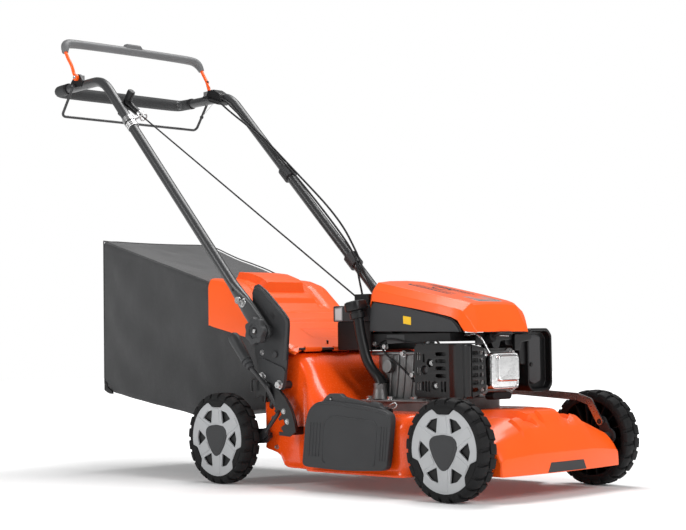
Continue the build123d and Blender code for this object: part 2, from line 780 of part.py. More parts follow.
def recoil_reel():
    """The rope reel of the recoil starter, above the fan."""
    reel = post(CRANK_X, 0, 38, 394, 404) + post(CRANK_X, 0, 46, 394, 396) + post(CRANK_X, 0, 46, 402, 404)
    return reel - post(CRANK_X, 0, 12, 390, 410)


def crankshaft():
    """The vertical crankshaft, from the blade boss up to the flywheel."""
    return post(CRANK_X, 0, CRANK_R, CRANK_LOW, FAN_TOP)


def flywheel():
    """The flywheel with its cooling fan."""
    wheel = post(CRANK_X, 0, 74, 344, 356) + post(CRANK_X, 0, 24, 340, 380)
    for step in range(10):
        angle = step * 36
        wheel += Pos(CRANK_X, 0, 0) * Rot(0, 0, angle) * block(46, 73, -2, 2, 355, 378)
    return wheel - post(CRANK_X, 0, CRANK_R, 330, FAN_TOP)


def blade_boss():
    """The drive pulley and blade seat in one piece on the crankshaft."""
    boss = pulley(CRANK_X, CRANK_PULLEY_R, BELT_Z - 6, 2, BELT_Z + 6) + post(CRANK_X, 0, 20, 66, BELT_Z - 5)
    return boss - post(CRANK_X, 0, CRANK_R, CRANK_LOW, 160)


def blade():
    """The cutting bar, with its rear edges turned up as wings."""
    half, thickness, wing_long, wing_high = 28.0, 4.0, 70.0, 12.0
    top = BLADE_Z + thickness
    rear, front = CRANK_X - half, CRANK_X + half
    bar = block(rear, front, -BLADE_R, BLADE_R, BLADE_Z, top)
    bar += block(rear, rear + thickness, -BLADE_R, -BLADE_R + wing_long, top, top + wing_high)
    bar += block(front - thickness, front, BLADE_R - wing_long, BLADE_R, top, top + wing_high)
    bar &= post(CRANK_X, 0, BLADE_R, 50, 90)
    return bar - post(CRANK_X, 0, 5, 50, 90)


def blade_bolt():
    return post(CRANK_X, 0, 16, BLADE_Z - 9, BLADE_Z) + post(CRANK_X, 0, 5, BLADE_Z, 66)


# ---- Handle ----


def handle_route():
    left = [TUBE_LOW, TUBE_BEND, TUBE_CORNER]
    right = [(x, -y, z) for x, y, z in reversed(left)]
    return left + right


def handle_tube():
    """The whole bent tube, hollow, with a pivot hole through each lower end."""
    radii = [90, 55, 55, 90]
    tube = bent_bar(handle_route(), radii, TUBE_R) - bent_bar(handle_route(), radii, TUBE_R - TUBE_WALL)
    return tube - cross_rod(*FOLD_PIVOT, PIVOT_BOLT_R + RUNNING_FIT, -280, 280)


def foam_grip():
    """The soft sleeve on the rear bar."""
    x, _, z = TUBE_CORNER
    half = 148.0
    return cross_rod(x, z, GRIP_R, -half, half) - cross_rod(x, z, TUBE_R, -half - 1, half + 1)


def bail_pivots():
    """The collars on the left tube that carry both bails' pins."""
    x, z = UPPER_BAIL_PIVOT
    low_x, low_z = LOWER_BAIL_PIVOT
    pin_end = BAIL_Y + 6.0
    ear = block(x - 8, x + 8, 208, 214, 1019.2, z + 6) + cross_rod(x, z, 3, 208, pin_end)
    low_pin = cross_rod(low_x, low_z, 2.5, 224.2, 233)
    return ear, low_pin


def handle_fittings():
    """The steel pieces bolted to the tube: bail pivots, rope eye and its collar, clamp bolts."""
    ear, low_pin = bail_pivots()
    pieces = [ear, low_pin, mirrored(ear), mirrored(low_pin), rope_guide()]
    bolt_x = 66.0
    bolt = tube_centre(bolt_x)
    head = cross_rod(bolt_x, bolt.Z, 8, bolt.Y + TUBE_R + 1, bolt.Y + TUBE_R + 7)
    pieces += [head, mirrored(head)]
    return group(*pieces)


def rope_guide():
    """A wire eye on a collar round the right tube."""
    x, y, z = ROPE_EYE
    collar = tube_collar(x - 8, -1, 16, 2.5)
    eye = Pos(x, y, z) * Rot(0, -54, 0) * Torus(9, 2.2)
    stem = rod((x - 1, y - 9.5, z), (x - 16, y - 21.4, z - 8), 2.2)
    return collar + eye + stem


def starter_grip():
    """The T-grip, at rest against the rope eye."""
    eye = Vector(*ROPE_EYE)
    along = (eye - Vector(*ROPE_OUTLET)).normalized()
    across = Vector(-along.Z, 0, along.X).normalized()
    centre = eye + along * GRIP_OFFSET
    half = across * 36
    bar = rod((centre - half), (centre + half), 9)
    neck = rod((eye + along * 14), centre, 7)
    return bar + neck


def starter_rope():
    """The pull rope, taut between the engine and the eye, ending in the grip's neck."""
    eye = Vector(*ROPE_EYE)
    along = (eye - Vector(*ROPE_OUTLET)).normalized()
    return rod(ROPE_OUTLET, (eye + along * 14), ROPE_R)


def upper_bail():
    """The engine-stop bail, raised at rest."""
    x, z = UPPER_BAIL_PIVOT
    points = [
        (x, BAIL_Y, z), (-657, BAIL_Y, 1126), (-657, -BAIL_Y, 1126), (x, -BAIL_Y, z),
    ]
    bail = bent_bar(points, [26, 26], 7)
    bail += block(-666, -648, -24, 24, 1126, 1143)
    eye = cross_rod(x, z, 8, BAIL_Y - 6, BAIL_Y + 4)
    return bail + eye + mirrored(eye) - cross_rod(x, z, 3.05, -260, 260)


def lower_bail():
    """The drive bail, a bent wire hanging under the bar at rest."""
    x, z = LOWER_BAIL_PIVOT
    y = 228.5
    points = [(x, y, z), (-666, y, 931), (-666, -y, 931), (x, -y, z)]
    bail = bent_bar(points, [12, 12], 3.5)
    eye = cross_rod(x, z, 6, y - 3, y + 3)
    bail += eye + mirrored(eye)
    return bail - cross_rod(x, z, 2.55, -260, 260)


def fold_knob():
    """One knob that clamps the handle on its pivot bolt, made for the left."""
    x, z = FOLD_PIVOT
    inner_y, outer_y, hub_r, lobe_r, lobe_at, lobes = 249.4, 264.8, 21.0, 8.0, 20.0, 6
    knob = cross_rod(x, z, hub_r, inner_y, outer_y)
    for step in range(lobes):
        angle = 2 * math.pi * step / lobes
        lobe_x, lobe_z = x + lobe_at * math.cos(angle), z + lobe_at * math.sin(angle)
        knob += cross_rod(lobe_x, lobe_z, lobe_r, inner_y, outer_y)
    knob -= cross_rod(x, z, 12, 262.6, outer_y + 1)
    return knob - cross_rod(x, z, PIVOT_BOLT_R + RUNNING_FIT, 240, 262.6)


def cable(points, radius=CABLE_R):
    """A control cable along hand-picked points."""
    return bent_bar(points, cord_radii(points), radius)


BRAKE_CABLE = [
    (-548, 193, 1012), (-505, 194, 1002), (-462, 196, 965), (-359, 205.6, 884), (-260, 225.2, 787.6),
    (-90, 231, 644), (-24, 233.3, 543.5), (14, 216, 498), (62, 210, 424), (130, 206, 366),
    (196, 200, 338), (262, 180, 330), (318, 150, 326), (352, 122, 312),
]
DRIVE_CABLE = [
    (-575, 186, 1008), (-520, 186, 998), (-474, 188, 962), (-371, 195.6, 893), (-260.3, 217.1, 787.4),
    (-107, 220.6, 637.6), (-24.3, 225.2, 543.3), (-2, 209, 497), (20, 207, 424), (30, 207, 352),
    (44, 205, 302), (68, 199, 274), (96, 192.6, 262),
]


def brake_cable():
    return cable(BRAKE_CABLE)


def drive_cable():
    return cable(DRIVE_CABLE)


def cable_clips():
    """The two plastic collars on the left tube, with a channel for each cable."""
    length, thickness, gap = 34.0, 6.0, 0.3
    clips = []
    for x in (-262, -26):
        clip = tube_collar(x, 1, length, thickness)
        for route in (BRAKE_CABLE, DRIVE_CABLE):
            clip -= cable(route, CABLE_R + gap)
        clips.append(clip)
    return group(*clips)


# ---- Writing the pieces ----


def save(name, shape):
    """Write one node, moved so that X is zero at the middle of the mower."""
    solids = [Pos(-ORIGIN_X, 0, 0) * solid for solid in solids_of(shape)]
    export_step(solids[0] if len(solids) == 1 else Compound(solids), f"parts/{name}.step")


PIECES = {
    "deck_shell": deck_shell,
    "front_cover": front_cover,
    "deck_bolts": deck_bolts,
    "height_quadrant": height_quadrant,
    "crankcase": crankcase,
    "cylinder": cylinder,
    "valve_cover": valve_cover,
    "muffler": muffler,
    "muffler_guard": muffler_guard,
    "air_filter": air_filter,
    "carburettor": carburettor,
    "spark_plug": spark_plug,
    "blower_shroud": blower_shroud,
    "engine_cover": engine_cover,
    "trim_panels": trim_panels,
    "fuel_tank": fuel_tank,
    "fuel_cap": fuel_cap,
    "oil_filler_tube": oil_filler_tube,
    "oil_cap": oil_cap,
    "recoil_reel": recoil_reel,
    "crankshaft": crankshaft,
    "flywheel": flywheel,
    "blade_boss": blade_boss,
    "blade": blade,
    "blade_bolt": blade_bolt,
    "drive_belt": drive_belt,
    "gearbox": gearbox,
    "gearbox_pulley": gearbox_pulley,
    "drive_shaft": drive_shaft,
    "rear_axle": rear_axle,
    "front_axle": front_axle,
    "height_link": height_link,
    "height_lever": height_lever,
    "lever_grip": lever_grip,
    "side_cover": side_cover,
    "rear_flap": rear_flap,
    "hinge_rods": hinge_rods,
    "grass_bag": grass_bag,
    "bag_frame": bag_frame,
    "handle_tube": handle_tube,
    "foam_grip": foam_grip,
    "handle_fittings": handle_fittings,
    "starter_grip": starter_grip,
    "starter_rope": starter_rope,
    "upper_bail": upper_bail,
    "lower_bail": lower_bail,
    "brake_cable": brake_cable,
    "drive_cable": drive_cable,
    "cable_clips": cable_clips,
}


def main():
    os.makedirs("parts", exist_ok=True)
    for name, make in PIECES.items():
        save(name, make())
    save("handle_brackets", both_sides(bracket_plate()))
    save("left_knob", fold_knob())
    save("right_knob", mirrored(fold_knob()))
    tyre_shape, rim_shape = tyre(), rim()
    for end, x in (("front", WHEELBASE), ("rear", 0.0)):
        for side_name, side in (("left", 1), ("right", -1)):
            save(f"{end}_{side_name}_tyre", at_wheel(tyre_shape, x, side))
            save(f"{end}_{side_name}_rim", at_wheel(rim_shape, x, side))
    for name, route in (("brake cable", BRAKE_CABLE), ("drive cable", DRIVE_CABLE)):
        print(name, "arc radii", [round(radius) for radius in cord_radii(route)])


main()
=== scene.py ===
import json
import math

import bmesh
import bpy
from mathutils import Matrix, Vector, noise

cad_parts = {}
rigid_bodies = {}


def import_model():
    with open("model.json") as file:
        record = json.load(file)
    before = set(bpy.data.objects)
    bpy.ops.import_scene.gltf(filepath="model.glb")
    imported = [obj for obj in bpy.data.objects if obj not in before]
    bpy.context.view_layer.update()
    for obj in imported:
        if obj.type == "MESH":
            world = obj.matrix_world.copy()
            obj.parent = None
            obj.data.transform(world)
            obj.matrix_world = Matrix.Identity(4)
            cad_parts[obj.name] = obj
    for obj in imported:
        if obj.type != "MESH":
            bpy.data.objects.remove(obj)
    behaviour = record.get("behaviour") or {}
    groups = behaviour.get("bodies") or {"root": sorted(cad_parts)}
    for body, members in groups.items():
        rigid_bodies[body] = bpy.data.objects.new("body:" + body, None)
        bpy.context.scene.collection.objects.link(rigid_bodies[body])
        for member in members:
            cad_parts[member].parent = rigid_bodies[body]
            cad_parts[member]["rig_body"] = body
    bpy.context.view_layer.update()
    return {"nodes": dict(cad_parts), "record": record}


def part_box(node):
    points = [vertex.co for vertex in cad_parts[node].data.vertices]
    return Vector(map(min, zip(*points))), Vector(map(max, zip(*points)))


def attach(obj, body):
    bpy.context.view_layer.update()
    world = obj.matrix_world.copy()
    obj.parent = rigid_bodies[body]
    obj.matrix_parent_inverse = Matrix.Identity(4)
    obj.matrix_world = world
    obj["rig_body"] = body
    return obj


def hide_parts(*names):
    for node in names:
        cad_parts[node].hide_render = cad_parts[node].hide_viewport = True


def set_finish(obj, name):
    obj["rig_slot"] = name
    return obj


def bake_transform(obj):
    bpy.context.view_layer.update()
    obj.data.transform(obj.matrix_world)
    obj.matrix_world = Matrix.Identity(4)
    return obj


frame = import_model()
NODES = frame["nodes"]

# Shapes are given in millimetres with X measured from the rear wheel axle, as the part's source does.
WHEEL_LOW, WHEEL_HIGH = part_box("rear_left_tyre")
AXLE = (WHEEL_LOW + WHEEL_HIGH) / 2
MM = 0.001


def P(x, y, z):
    """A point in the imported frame, from millimetres with X measured from the rear axle."""
    return Vector((AXLE.x + x * MM, y * MM, z * MM))


# ---- Camera ----

CAMERA_AT = (2.77041, -2.60458, 0.33152)
CAMERA_YAW, CAMERA_PITCH, CAMERA_ROLL = 0.794412, -0.0467291, -0.0147396
CAMERA_LENS = 82.44


def place_camera():
    """The camera, looking back and to the left at the mower's front right corner."""
    yaw, pitch, roll = CAMERA_YAW, CAMERA_PITCH, CAMERA_ROLL
    forward = Vector(
        (-math.sin(yaw) * math.cos(pitch), math.cos(yaw) * math.cos(pitch), -math.sin(pitch))
    )
    level = Vector((math.cos(yaw), math.sin(yaw), 0))
    upright = level.cross(forward)
    right = math.cos(roll) * level + math.sin(roll) * upright
    up = -math.sin(roll) * level + math.cos(roll) * upright
    data = bpy.data.cameras.new("camera")
    data.lens, data.sensor_width = CAMERA_LENS, 36.0
    data.clip_start, data.clip_end = 0.1, 60.0
    camera = bpy.data.objects.new("camera", data)
    bpy.context.scene.collection.objects.link(camera)
    turn = Matrix((right, up, -forward)).transposed()
    camera.matrix_world = Matrix.Translation(CAMERA_AT) @ turn.to_4x4()
    bpy.context.scene.camera = camera


place_camera()


# ---- Materials ----

class Nodes:
    """A small helper round one material's node tree."""

    def __init__(self, name):
        self.material = bpy.data.materials.new(name)
        self.material.use_nodes = True
        self.tree = self.material.node_tree
        self.shader = self.tree.nodes["Principled BSDF"]
        self.coords = self.add("ShaderNodeTexCoord").outputs["Object"]

    def add(self, kind, **settings):
        node = self.tree.nodes.new(kind)
        for key, value in settings.items():
            if hasattr(node, key):
                setattr(node, key, value)
            else:
                node.inputs[key].default_value = value
        return node

    def link(self, a, b):
        self.tree.links.new(a, b)

    def noise(self, scale, detail=3.0, stretch=None):
        node = self.add("ShaderNodeTexNoise", Scale=scale, Detail=detail)
        source = self.coords
        if stretch:
            mapping = self.add("ShaderNodeMapping")
            mapping.inputs["Scale"].default_value = stretch
            self.link(self.coords, mapping.inputs["Vector"])
            source = mapping.outputs["Vector"]
        self.link(source, node.inputs["Vector"])
        return node.outputs["Fac"]

    def ramp(self, value, stops):
        node = self.add("ShaderNodeValToRGB")
        elements = node.color_ramp.elements
        for element, (at, colour) in zip(elements, (stops[0], stops[-1])):
            element.position = at
            element.color = (*colour, 1)
        self.link(value, node.inputs["Fac"])
        return node.outputs["Color"]

    def spread(self, value, low, high):
        node = self.add("ShaderNodeMapRange")
        node.inputs["From Min"].default_value = 0.3
        node.inputs["From Max"].default_value = 0.7
        node.inputs["To Min"].default_value = low
        node.inputs["To Max"].default_value = high
        self.link(value, node.inputs["Value"])
        return node.outputs["Result"]

    def bump(self, layers):
        """Stacked bumps from (height, strength, distance in metres)."""
        before = None
        for height, strength, distance in layers:
            node = self.add("ShaderNodeBump", Strength=strength, Distance=distance)
            self.link(height, node.inputs["Height"])
            if before:
                self.link(before, node.inputs["Normal"])
            before = node.outputs["Normal"]
        self.link(before, self.shader.inputs["Normal"])


def shade(colour, factor):
    """A colour made lighter or darker."""
    return tuple(min(1.0, c * factor) for c in colour)


def finish_of(
    name, colour, rough, grain, metal=0.0, coat=0.0, blotch=8.0, vary=0.12, bump=(0.25, 0.0003),
    stretch=None, shine=0.3
):
    """A surface with broad colour variation, uneven gloss and a fine grain."""
    made = Nodes(name)
    broad = made.noise(blotch, 4.0)
    fine = made.noise(grain, 3.0, stretch)
    made.link(
        made.ramp(broad, [(0.3, shade(colour, 1 - vary)), (0.7, shade(colour, 1 + vary))]),
        made.shader.inputs["Base Color"]
    )
    made.link(made.spread(fine, rough[0], rough[1]), made.shader.inputs["Roughness"])
    made.shader.inputs["Metallic"].default_value = metal
    made.shader.inputs["Specular IOR Level"].default_value = shine
    made.shader.inputs["Coat Weight"].default_value = coat
    made.shader.inputs["Coat Roughness"].default_value = 0.08
    made.bump([(fine, bump[0], bump[1])])
    return made


def fabric_of(name, colour):
    """A woven cloth: two crossing sets of threads over a soft mottling."""
    made = Nodes(name)
    heights = []
    for turn in ((0, 0, 0), (0, math.pi / 2, 0)):
        mapping = made.add("ShaderNodeMapping")
        mapping.inputs["Rotation"].default_value = turn
        made.link(made.coords, mapping.inputs["Vector"])
        wave = made.add("ShaderNodeTexWave", Scale=260.0, Distortion=0.6)
        wave.inputs["Detail"].default_value = 1.0
        made.link(mapping.outputs["Vector"], wave.inputs["Vector"])
        heights.append(wave.outputs["Fac"])
    weave = made.add("ShaderNodeMath", operation="MULTIPLY")
    made.link(heights[0], weave.inputs[0])
    made.link(heights[1], weave.inputs[1])
    broad = made.noise(7.0, 6.0)
    fleck = made.noise(420.0, 2.0)
    mixed = made.add("ShaderNodeMix", data_type="RGBA", blend_type="MULTIPLY")
    mixed.inputs["Factor"].default_value = 0.35
    made.link(
        made.ramp(broad, [(0.3, shade(colour, 0.82)), (0.72, shade(colour, 1.22))]), mixed.inputs["A"]
    )
    made.link(made.ramp(fleck, [(0.35, (0.62, 0.62, 0.62)), (0.65, (1, 1, 1))]), mixed.inputs["B"])
    made.link(mixed.outputs["Result"], made.shader.inputs["Base Color"])
    made.shader.inputs["Roughness"].default_value = 0.86
    made.shader.inputs["Sheen Weight"].default_value = 0.25
    made.shader.inputs["Sheen Roughness"].default_value = 0.5
    made.bump(
        [
            (weave.outputs["Value"], 0.4, 0.0004), (made.noise(9.0, 4.0), 0.5, 0.006),
            (made.noise(34.0, 3.0), 0.4, 0.002),
        ]
    )
    return made


ORANGE = (0.93, 0.105, 0.008)
MATERIALS = {
    "orange_steel": finish_of(
        "orange_steel", (0.92, 0.085, 0.006), (0.2, 0.3), 240, coat=0.3, vary=0.04, bump=(0.04, 0.0003)
    ),
    "orange_plastic": finish_of(
        "orange_plastic", ORANGE, (0.3, 0.42), 900, coat=0.08, vary=0.03, bump=(0.06, 0.0002)
    ),
    "grey_plastic": finish_of(
        "grey_plastic", (0.036, 0.037, 0.039), (0.42, 0.6), 1400, vary=0.1, bump=(0.25, 0.0003)
    ),
    "black_plastic": finish_of(
        "black_plastic", (0.0045, 0.0045, 0.005), (0.3, 0.5), 1100, vary=0.15, bump=(0.15, 0.0003)
    ),
    "light_rim": finish_of(
        "light_rim", (0.42, 0.43, 0.44), (0.32, 0.45), 900, vary=0.05, bump=(0.1, 0.0002)
    ),
    "tyre": finish_of(
        "tyre", (0.009, 0.009, 0.0095), (0.6, 0.8), 700, vary=0.2, bump=(0.3, 0.0004), shine=0.2
    ),
    "zinc_steel": finish_of(
        "zinc_steel", (0.5, 0.5, 0.5), (0.22, 0.42), 260, metal=1.0, vary=0.15, blotch=40
    ),
    "dark_steel": finish_of(
        "dark_steel", (0.021, 0.021, 0.0225), (0.3, 0.45), 600, vary=0.15, bump=(0.1, 0.0003), shine=0.5
    ),
    "cast_aluminium": finish_of(
        "cast_aluminium", (0.2, 0.2, 0.2), (0.36, 0.6), 420, metal=0.85, vary=0.2, blotch=22,
        bump=(0.35, 0.0006)
    ),
    "blade_steel": finish_of(
        "blade_steel", (0.35, 0.35, 0.36), (0.28, 0.45), 90, metal=1.0, vary=0.2, stretch=(1, 8, 1)
    ),
    "black_metal": finish_of(
        "black_metal", (0.004, 0.004, 0.0045), (0.26, 0.42), 700, vary=0.15, bump=(0.1, 0.0003),
        shine=0.4
    ),
    "tube_paint": finish_of(
        "tube_paint", (0.032, 0.033, 0.0345), (0.28, 0.4), 1200, vary=0.06, bump=(0.03, 0.0001),
        shine=0.5
    ),
    "foam": finish_of("foam", (0.032, 0.033, 0.034), (0.6, 0.8), 1500, vary=0.1, bump=(0.4, 0.0004)),
    "bail_plastic": finish_of(
        "bail_plastic", (0.125, 0.127, 0.13), (0.38, 0.5), 1300, vary=0.06, bump=(0.15, 0.0002)
    ),
    "bag_fabric": fabric_of("bag_fabric", (0.034, 0.035, 0.0365)),
    "rubber_black": finish_of(
        "rubber_black", (0.007, 0.007, 0.008), (0.5, 0.7), 800, vary=0.2, bump=(0.1, 0.0003)
    ),
}
EXTRA = {
    "chrome": finish_of("chrome", (0.82, 0.82, 0.82), (0.14, 0.26), 180, metal=1.0, vary=0.08, blotch=30),
    "silver_mesh": finish_of("silver_mesh", (0.36, 0.37, 0.38), (0.35, 0.5), 500, metal=0.6),
    "blank_label": finish_of("blank_label", (0.55, 0.56, 0.57), (0.35, 0.5), 300, vary=0.08),
    "yellow_label": finish_of("yellow_label", (0.85, 0.52, 0.02), (0.35, 0.5), 300, vary=0.05),
    "dark_mesh": finish_of("dark_mesh", (0.035, 0.037, 0.04), (0.35, 0.6), 160, metal=0.4, vary=0.3),
}


def paint(obj, slot):
    """Give an object one material, and its record slot where it has one."""
    data = obj.data
    data.materials.clear()
    if slot in MATERIALS:
        data.materials.append(MATERIALS[slot].material)
        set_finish(obj, slot)
    else:
        data.materials.append(EXTRA[slot].material)


# ---- Mesh tools ----

def keep(obj):
    """Put a new object in the scene."""
    bpy.context.scene.collection.objects.link(obj)
    return obj


def soften(obj, width, segments=2, angle=32):
    """Rounded edges with clean shading."""
    if width:
        bevel = obj.modifiers.new("edges", "BEVEL")
        bevel.width = width * MM
        bevel.segments = segments
        bevel.limit_method = "ANGLE"
        bevel.angle_limit = math.radians(angle)
    normals = obj.modifiers.new("normals", "WEIGHTED_NORMAL")
    normals.keep_sharp = True
    return obj


def finish_mesh(mesh, smooth_angle):
    """Weld, face outwards and shade smooth up to an angle."""
    made = bmesh.new()
    made.from_mesh(mesh)
    bmesh.ops.remove_doubles(made, verts=made.verts, dist=2e-5)
    bmesh.ops.recalc_face_normals(made, faces=made.faces)
    made.to_mesh(mesh)
    made.free()
    mesh.shade_smooth()
    mesh.set_sharp_from_angle(angle=math.radians(smooth_angle))


def solid(name, points, faces, body, slot, edge=0.0, smooth=35, segments=2):
    mesh = bpy.data.meshes.new(name)
    mesh.from_pydata([tuple(p) for p in points], [], faces)
    finish_mesh(mesh, smooth)
    obj = keep(bpy.data.objects.new(name, mesh))
    soften(obj, edge, segments)
    paint(obj, slot)
    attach(obj, body)
    return obj


def loft(name, rings, body, slot, edge=0.0, smooth=35, closed=True, caps=True):
    """A skin over rings of points; each ring has the same number of points."""
    count = len(rings[0])
    points = [p for ring in rings for p in ring]
    faces = []
    for r in range(len(rings) - 1):
        for i in range(count if closed else count - 1):
            a, b = r * count + i, r * count + (i + 1) % count
            faces.append((a, b, b + count, a + count))
    if caps and closed:
        faces.append(tuple(range(count)))
        last = (len(rings) - 1) * count
        faces.append(tuple(range(last + count - 1, last - 1, -1)))
    return solid(name, points, faces, body, slot, edge, smooth)


def rounded(corners, radius, steps=4):
    """A closed outline with its corners rounded; a corner may carry its own radius."""
    out = []
    count = len(corners)
    for i, corner in enumerate(corners):
        here = Vector(corner[:2])
        before, after = Vector(corners[i - 1][:2]), Vector(corners[(i + 1) % count][:2])
        to_before, to_after = before - here, after - here
        r = corner[2] if len(corner) > 2 else radius
        reach = min(r, to_before.length * 0.48, to_after.length * 0.48)
        if reach < 0.05:
            out.append(tuple(here))
            continue
        start, end = here + to_before.normalized() * reach, here + to_after.normalized() * reach
        for k in range(steps + 1):
            t = k / steps
            out.append(tuple((1 - t) ** 2 * start + 2 * t * (1 - t) * here + t * t * end))
    return out


def circle(cx, cy, radius, steps=20):
    """A round outline."""
    return [
        (cx + radius * math.cos(2 * math.pi * k / steps), cy + radius * math.sin(2 * math.pi * k / steps))
        for k in range(steps)
    ]


def slot_hole(x0, x1, y0, y1):
    """A hole with rounded ends."""
    return rounded([(x0, y0), (x1, y0), (x1, y1), (x0, y1)], min(x1 - x0, y1 - y0) * 0.48, 3)


SIDE = (Vector((1, 0, 0)), Vector((0, 0, 1)))
PLAN = (Vector((1, 0, 0)), Vector((0, 1, 0)))
FRONT = (Vector((0, 1, 0)), Vector((0, 0, 1)))


def mesh_of(name, curve):
    """The mesh that a curve makes."""
    holder = keep(bpy.data.objects.new(name + "_curve", curve))
    bpy.context.view_layer.update()
    mesh = bpy.data.meshes.new_from_object(holder.evaluated_get(bpy.context.evaluated_depsgraph_get()))
    bpy.data.objects.remove(holder)
    return mesh


def slab(name, outlines, origin, axes, depth, body, slot, edge=0.6):
    """A plate with holes: the first outline is its edge, the others are holes.

    Outlines are in mm along the two axes; the origin lies in the middle of the depth.
    """
    u, v = axes
    w = u.cross(v)
    curve = bpy.data.curves.new(name, "CURVE")
    curve.dimensions = "2D"
    curve.fill_mode = "BOTH"
    for outline in outlines:
        spline = curve.splines.new("POLY")
        spline.points.add(len(outline) - 1)
        for point, (a, b) in zip(spline.points, outline):
            point.co = (a * MM, b * MM, 0, 1)
        spline.use_cyclic_u = True
    edge = min(edge, depth * 0.45)
    curve.extrude = (depth / 2 - edge) * MM
    curve.bevel_depth = edge * MM
    curve.bevel_resolution = 1
    curve.offset = -edge * MM
    mesh = mesh_of(name, curve)
    place = Matrix.Translation(Vector(origin)) @ Matrix((u, v, w)).transposed().to_4x4()
    mesh.transform(place)
    mesh.materials.clear()
    finish_mesh(mesh, 30)
    obj = keep(bpy.data.objects.new(name, mesh))
    soften(obj, 0)
    paint(obj, slot)
    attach(obj, body)
    return obj


def side_slab(name, outlines, y_mid, depth, body, slot, edge=0.6):
    """A plate whose outline is seen from the side."""
    return slab(name, outlines, P(0, y_mid, 0), SIDE, depth, body, slot, edge)


def front_slab(name, outlines, x_mid, depth, slot, edge=0.6):
    """A plate on the chassis whose outline is seen from the front."""
    return slab(name, outlines, P(x_mid, 0, 0), FRONT, depth, "chassis", slot, edge)


def stepped(name, outline, middle, steps, slot, edge, smooth):
    """A solid whose outline, seen from the front, shrinks round a middle as (x, share) says."""
    rings = []
    for x, share in steps:
        shrunk = [[m + (value - m) * share for value, m in zip(point, middle)] for point in outline]
        rings.append([P(x, y, z) for y, z in shrunk])
    return loft(name, rings, "chassis", slot, edge, smooth)


def wire(name, points, radius, body, slot, order=3, thick=None, cyclic=False):
    """A round bar or cable on one smooth curve, as a mesh. Points are in mm."""
    curve = bpy.data.curves.new(name, "CURVE")
    curve.dimensions = "3D"
    curve.bevel_depth = radius * MM
    curve.bevel_resolution = 5
    curve.resolution_u = 10
    curve.use_fill_caps = not cyclic
    spline = curve.splines.new("NURBS")
    spline.points.add(len(points) - 1)
    for i, (point, at) in enumerate(zip(spline.points, points)):
        point.co = (*P(*at), 1)
        if thick:
            point.radius = thick[i]
    spline.order_u = order
    spline.use_endpoint_u = not cyclic
    spline.use_cyclic_u = cyclic
    mesh = mesh_of(name, curve)
    mesh.materials.clear()
    finish_mesh(mesh, 50)
    obj = keep(bpy.data.objects.new(name, mesh))
    paint(obj, slot)
    if body:
        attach(obj, body)
    return obj


def turned(name, profile, start, axis, body, slot, steps=40, edge=0.0, smooth=35, lobes=None):
    """A turned piece. profile is (distance along the axis, radius) in mm.

    lobes(angle, k) scales the radius.
    """
    axis = Vector(axis).normalized()
    side = axis.orthogonal().normalized()
    if abs(axis.y) > 0.99:
        side = Vector((1, 0, 0))
    other = axis.cross(side)
    rings = []
    for k, (along, radius) in enumerate(profile):
        ring = []
        for i in range(steps):
            angle = 2 * math.pi * i / steps
            r = max(radius, 0.01) * (lobes(angle, k) if lobes else 1.0)
            ring.append(
                P(*start) + (axis * along + side * r * math.cos(angle) + other * r * math.sin(angle)) * MM
            )
        rings.append(ring)
    return loft(name, rings, body, slot, edge, smooth)


def hex_bolt(name, x, y, z, axis, body, size=7.0, height=5.0, slot="zinc_steel"):
    """A flanged hex head with a domed top."""
    def six(angle, k):
        if k < 2 or k > 5:
            return 1.0
        return 1.0 / math.cos((angle % (math.pi / 3)) - math.pi / 6) * 0.93
    profile = [
        (0, size * 1.35), (1.2, size * 1.3), (1.3, size), (height - 0.8, size), (height, size * 0.9),
        (height, size * 0.55), (height - 1.0, size * 0.4),
    ]
    return turned(name, profile, (x, y, z), axis, body, slot, steps=36, lobes=six, smooth=28)


def thicken(obj, thickness, offset=1):
    """A wall of a given thickness in mm, made before any other modifier."""
    skin = obj.modifiers.new("wall", "SOLIDIFY")
    skin.thickness, skin.offset = thickness * MM, offset
    obj.modifiers.move(len(obj.modifiers) - 1, 0)


def join(name, parts):
    """Merge several pieces of one body and one material into one object."""
    deps = bpy.context.evaluated_depsgraph_get()
    bpy.context.view_layer.update()
    made = bmesh.new()
    for part in parts:
        mesh = bpy.data.meshes.new_from_object(part.evaluated_get(deps))
        made.from_mesh(mesh)
        bpy.data.meshes.remove(mesh)
    mesh = bpy.data.meshes.new(name)
    made.to_mesh(mesh)
    made.free()
    first = parts[0]
    mesh.materials.append(first.data.materials[0])
    obj = keep(bpy.data.objects.new(name, mesh))
    mesh.shade_smooth()
    mesh.set_sharp_from_angle(angle=math.radians(30))
    if "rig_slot" in first:
        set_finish(obj, first["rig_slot"])
    body = first["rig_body"]
    for part in parts:
        bpy.data.objects.remove(part)
    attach(obj, body)
    obj.name = name
    return obj


def ramp_between(a, b, t):
    """0 before a, 1 after b, straight between."""
    return max(0.0, min(1.0, (t - a) / (b - a)))


def curve_at(table, x):
    """Linear interpolation in a list of (x, value)."""
    if x <= table[0][0]:
        return table[0][1]
    for (x0, v0), (x1, v1) in zip(table, table[1:]):
        if x <= x1:
            return v0 + (v1 - v0) * (x - x0) / (x1 - x0)
    return table[-1][1]


# ---- Wheels ----

def wheel_ring(centre, side, radius, y, angle):
    """A point on a wheel, from its radius, its distance outboard of the middle plane and its angle."""
    return P(
        centre[0] + radius * math.cos(angle), centre[1] + side * y, centre[2] + radius * math.sin(angle)
    )


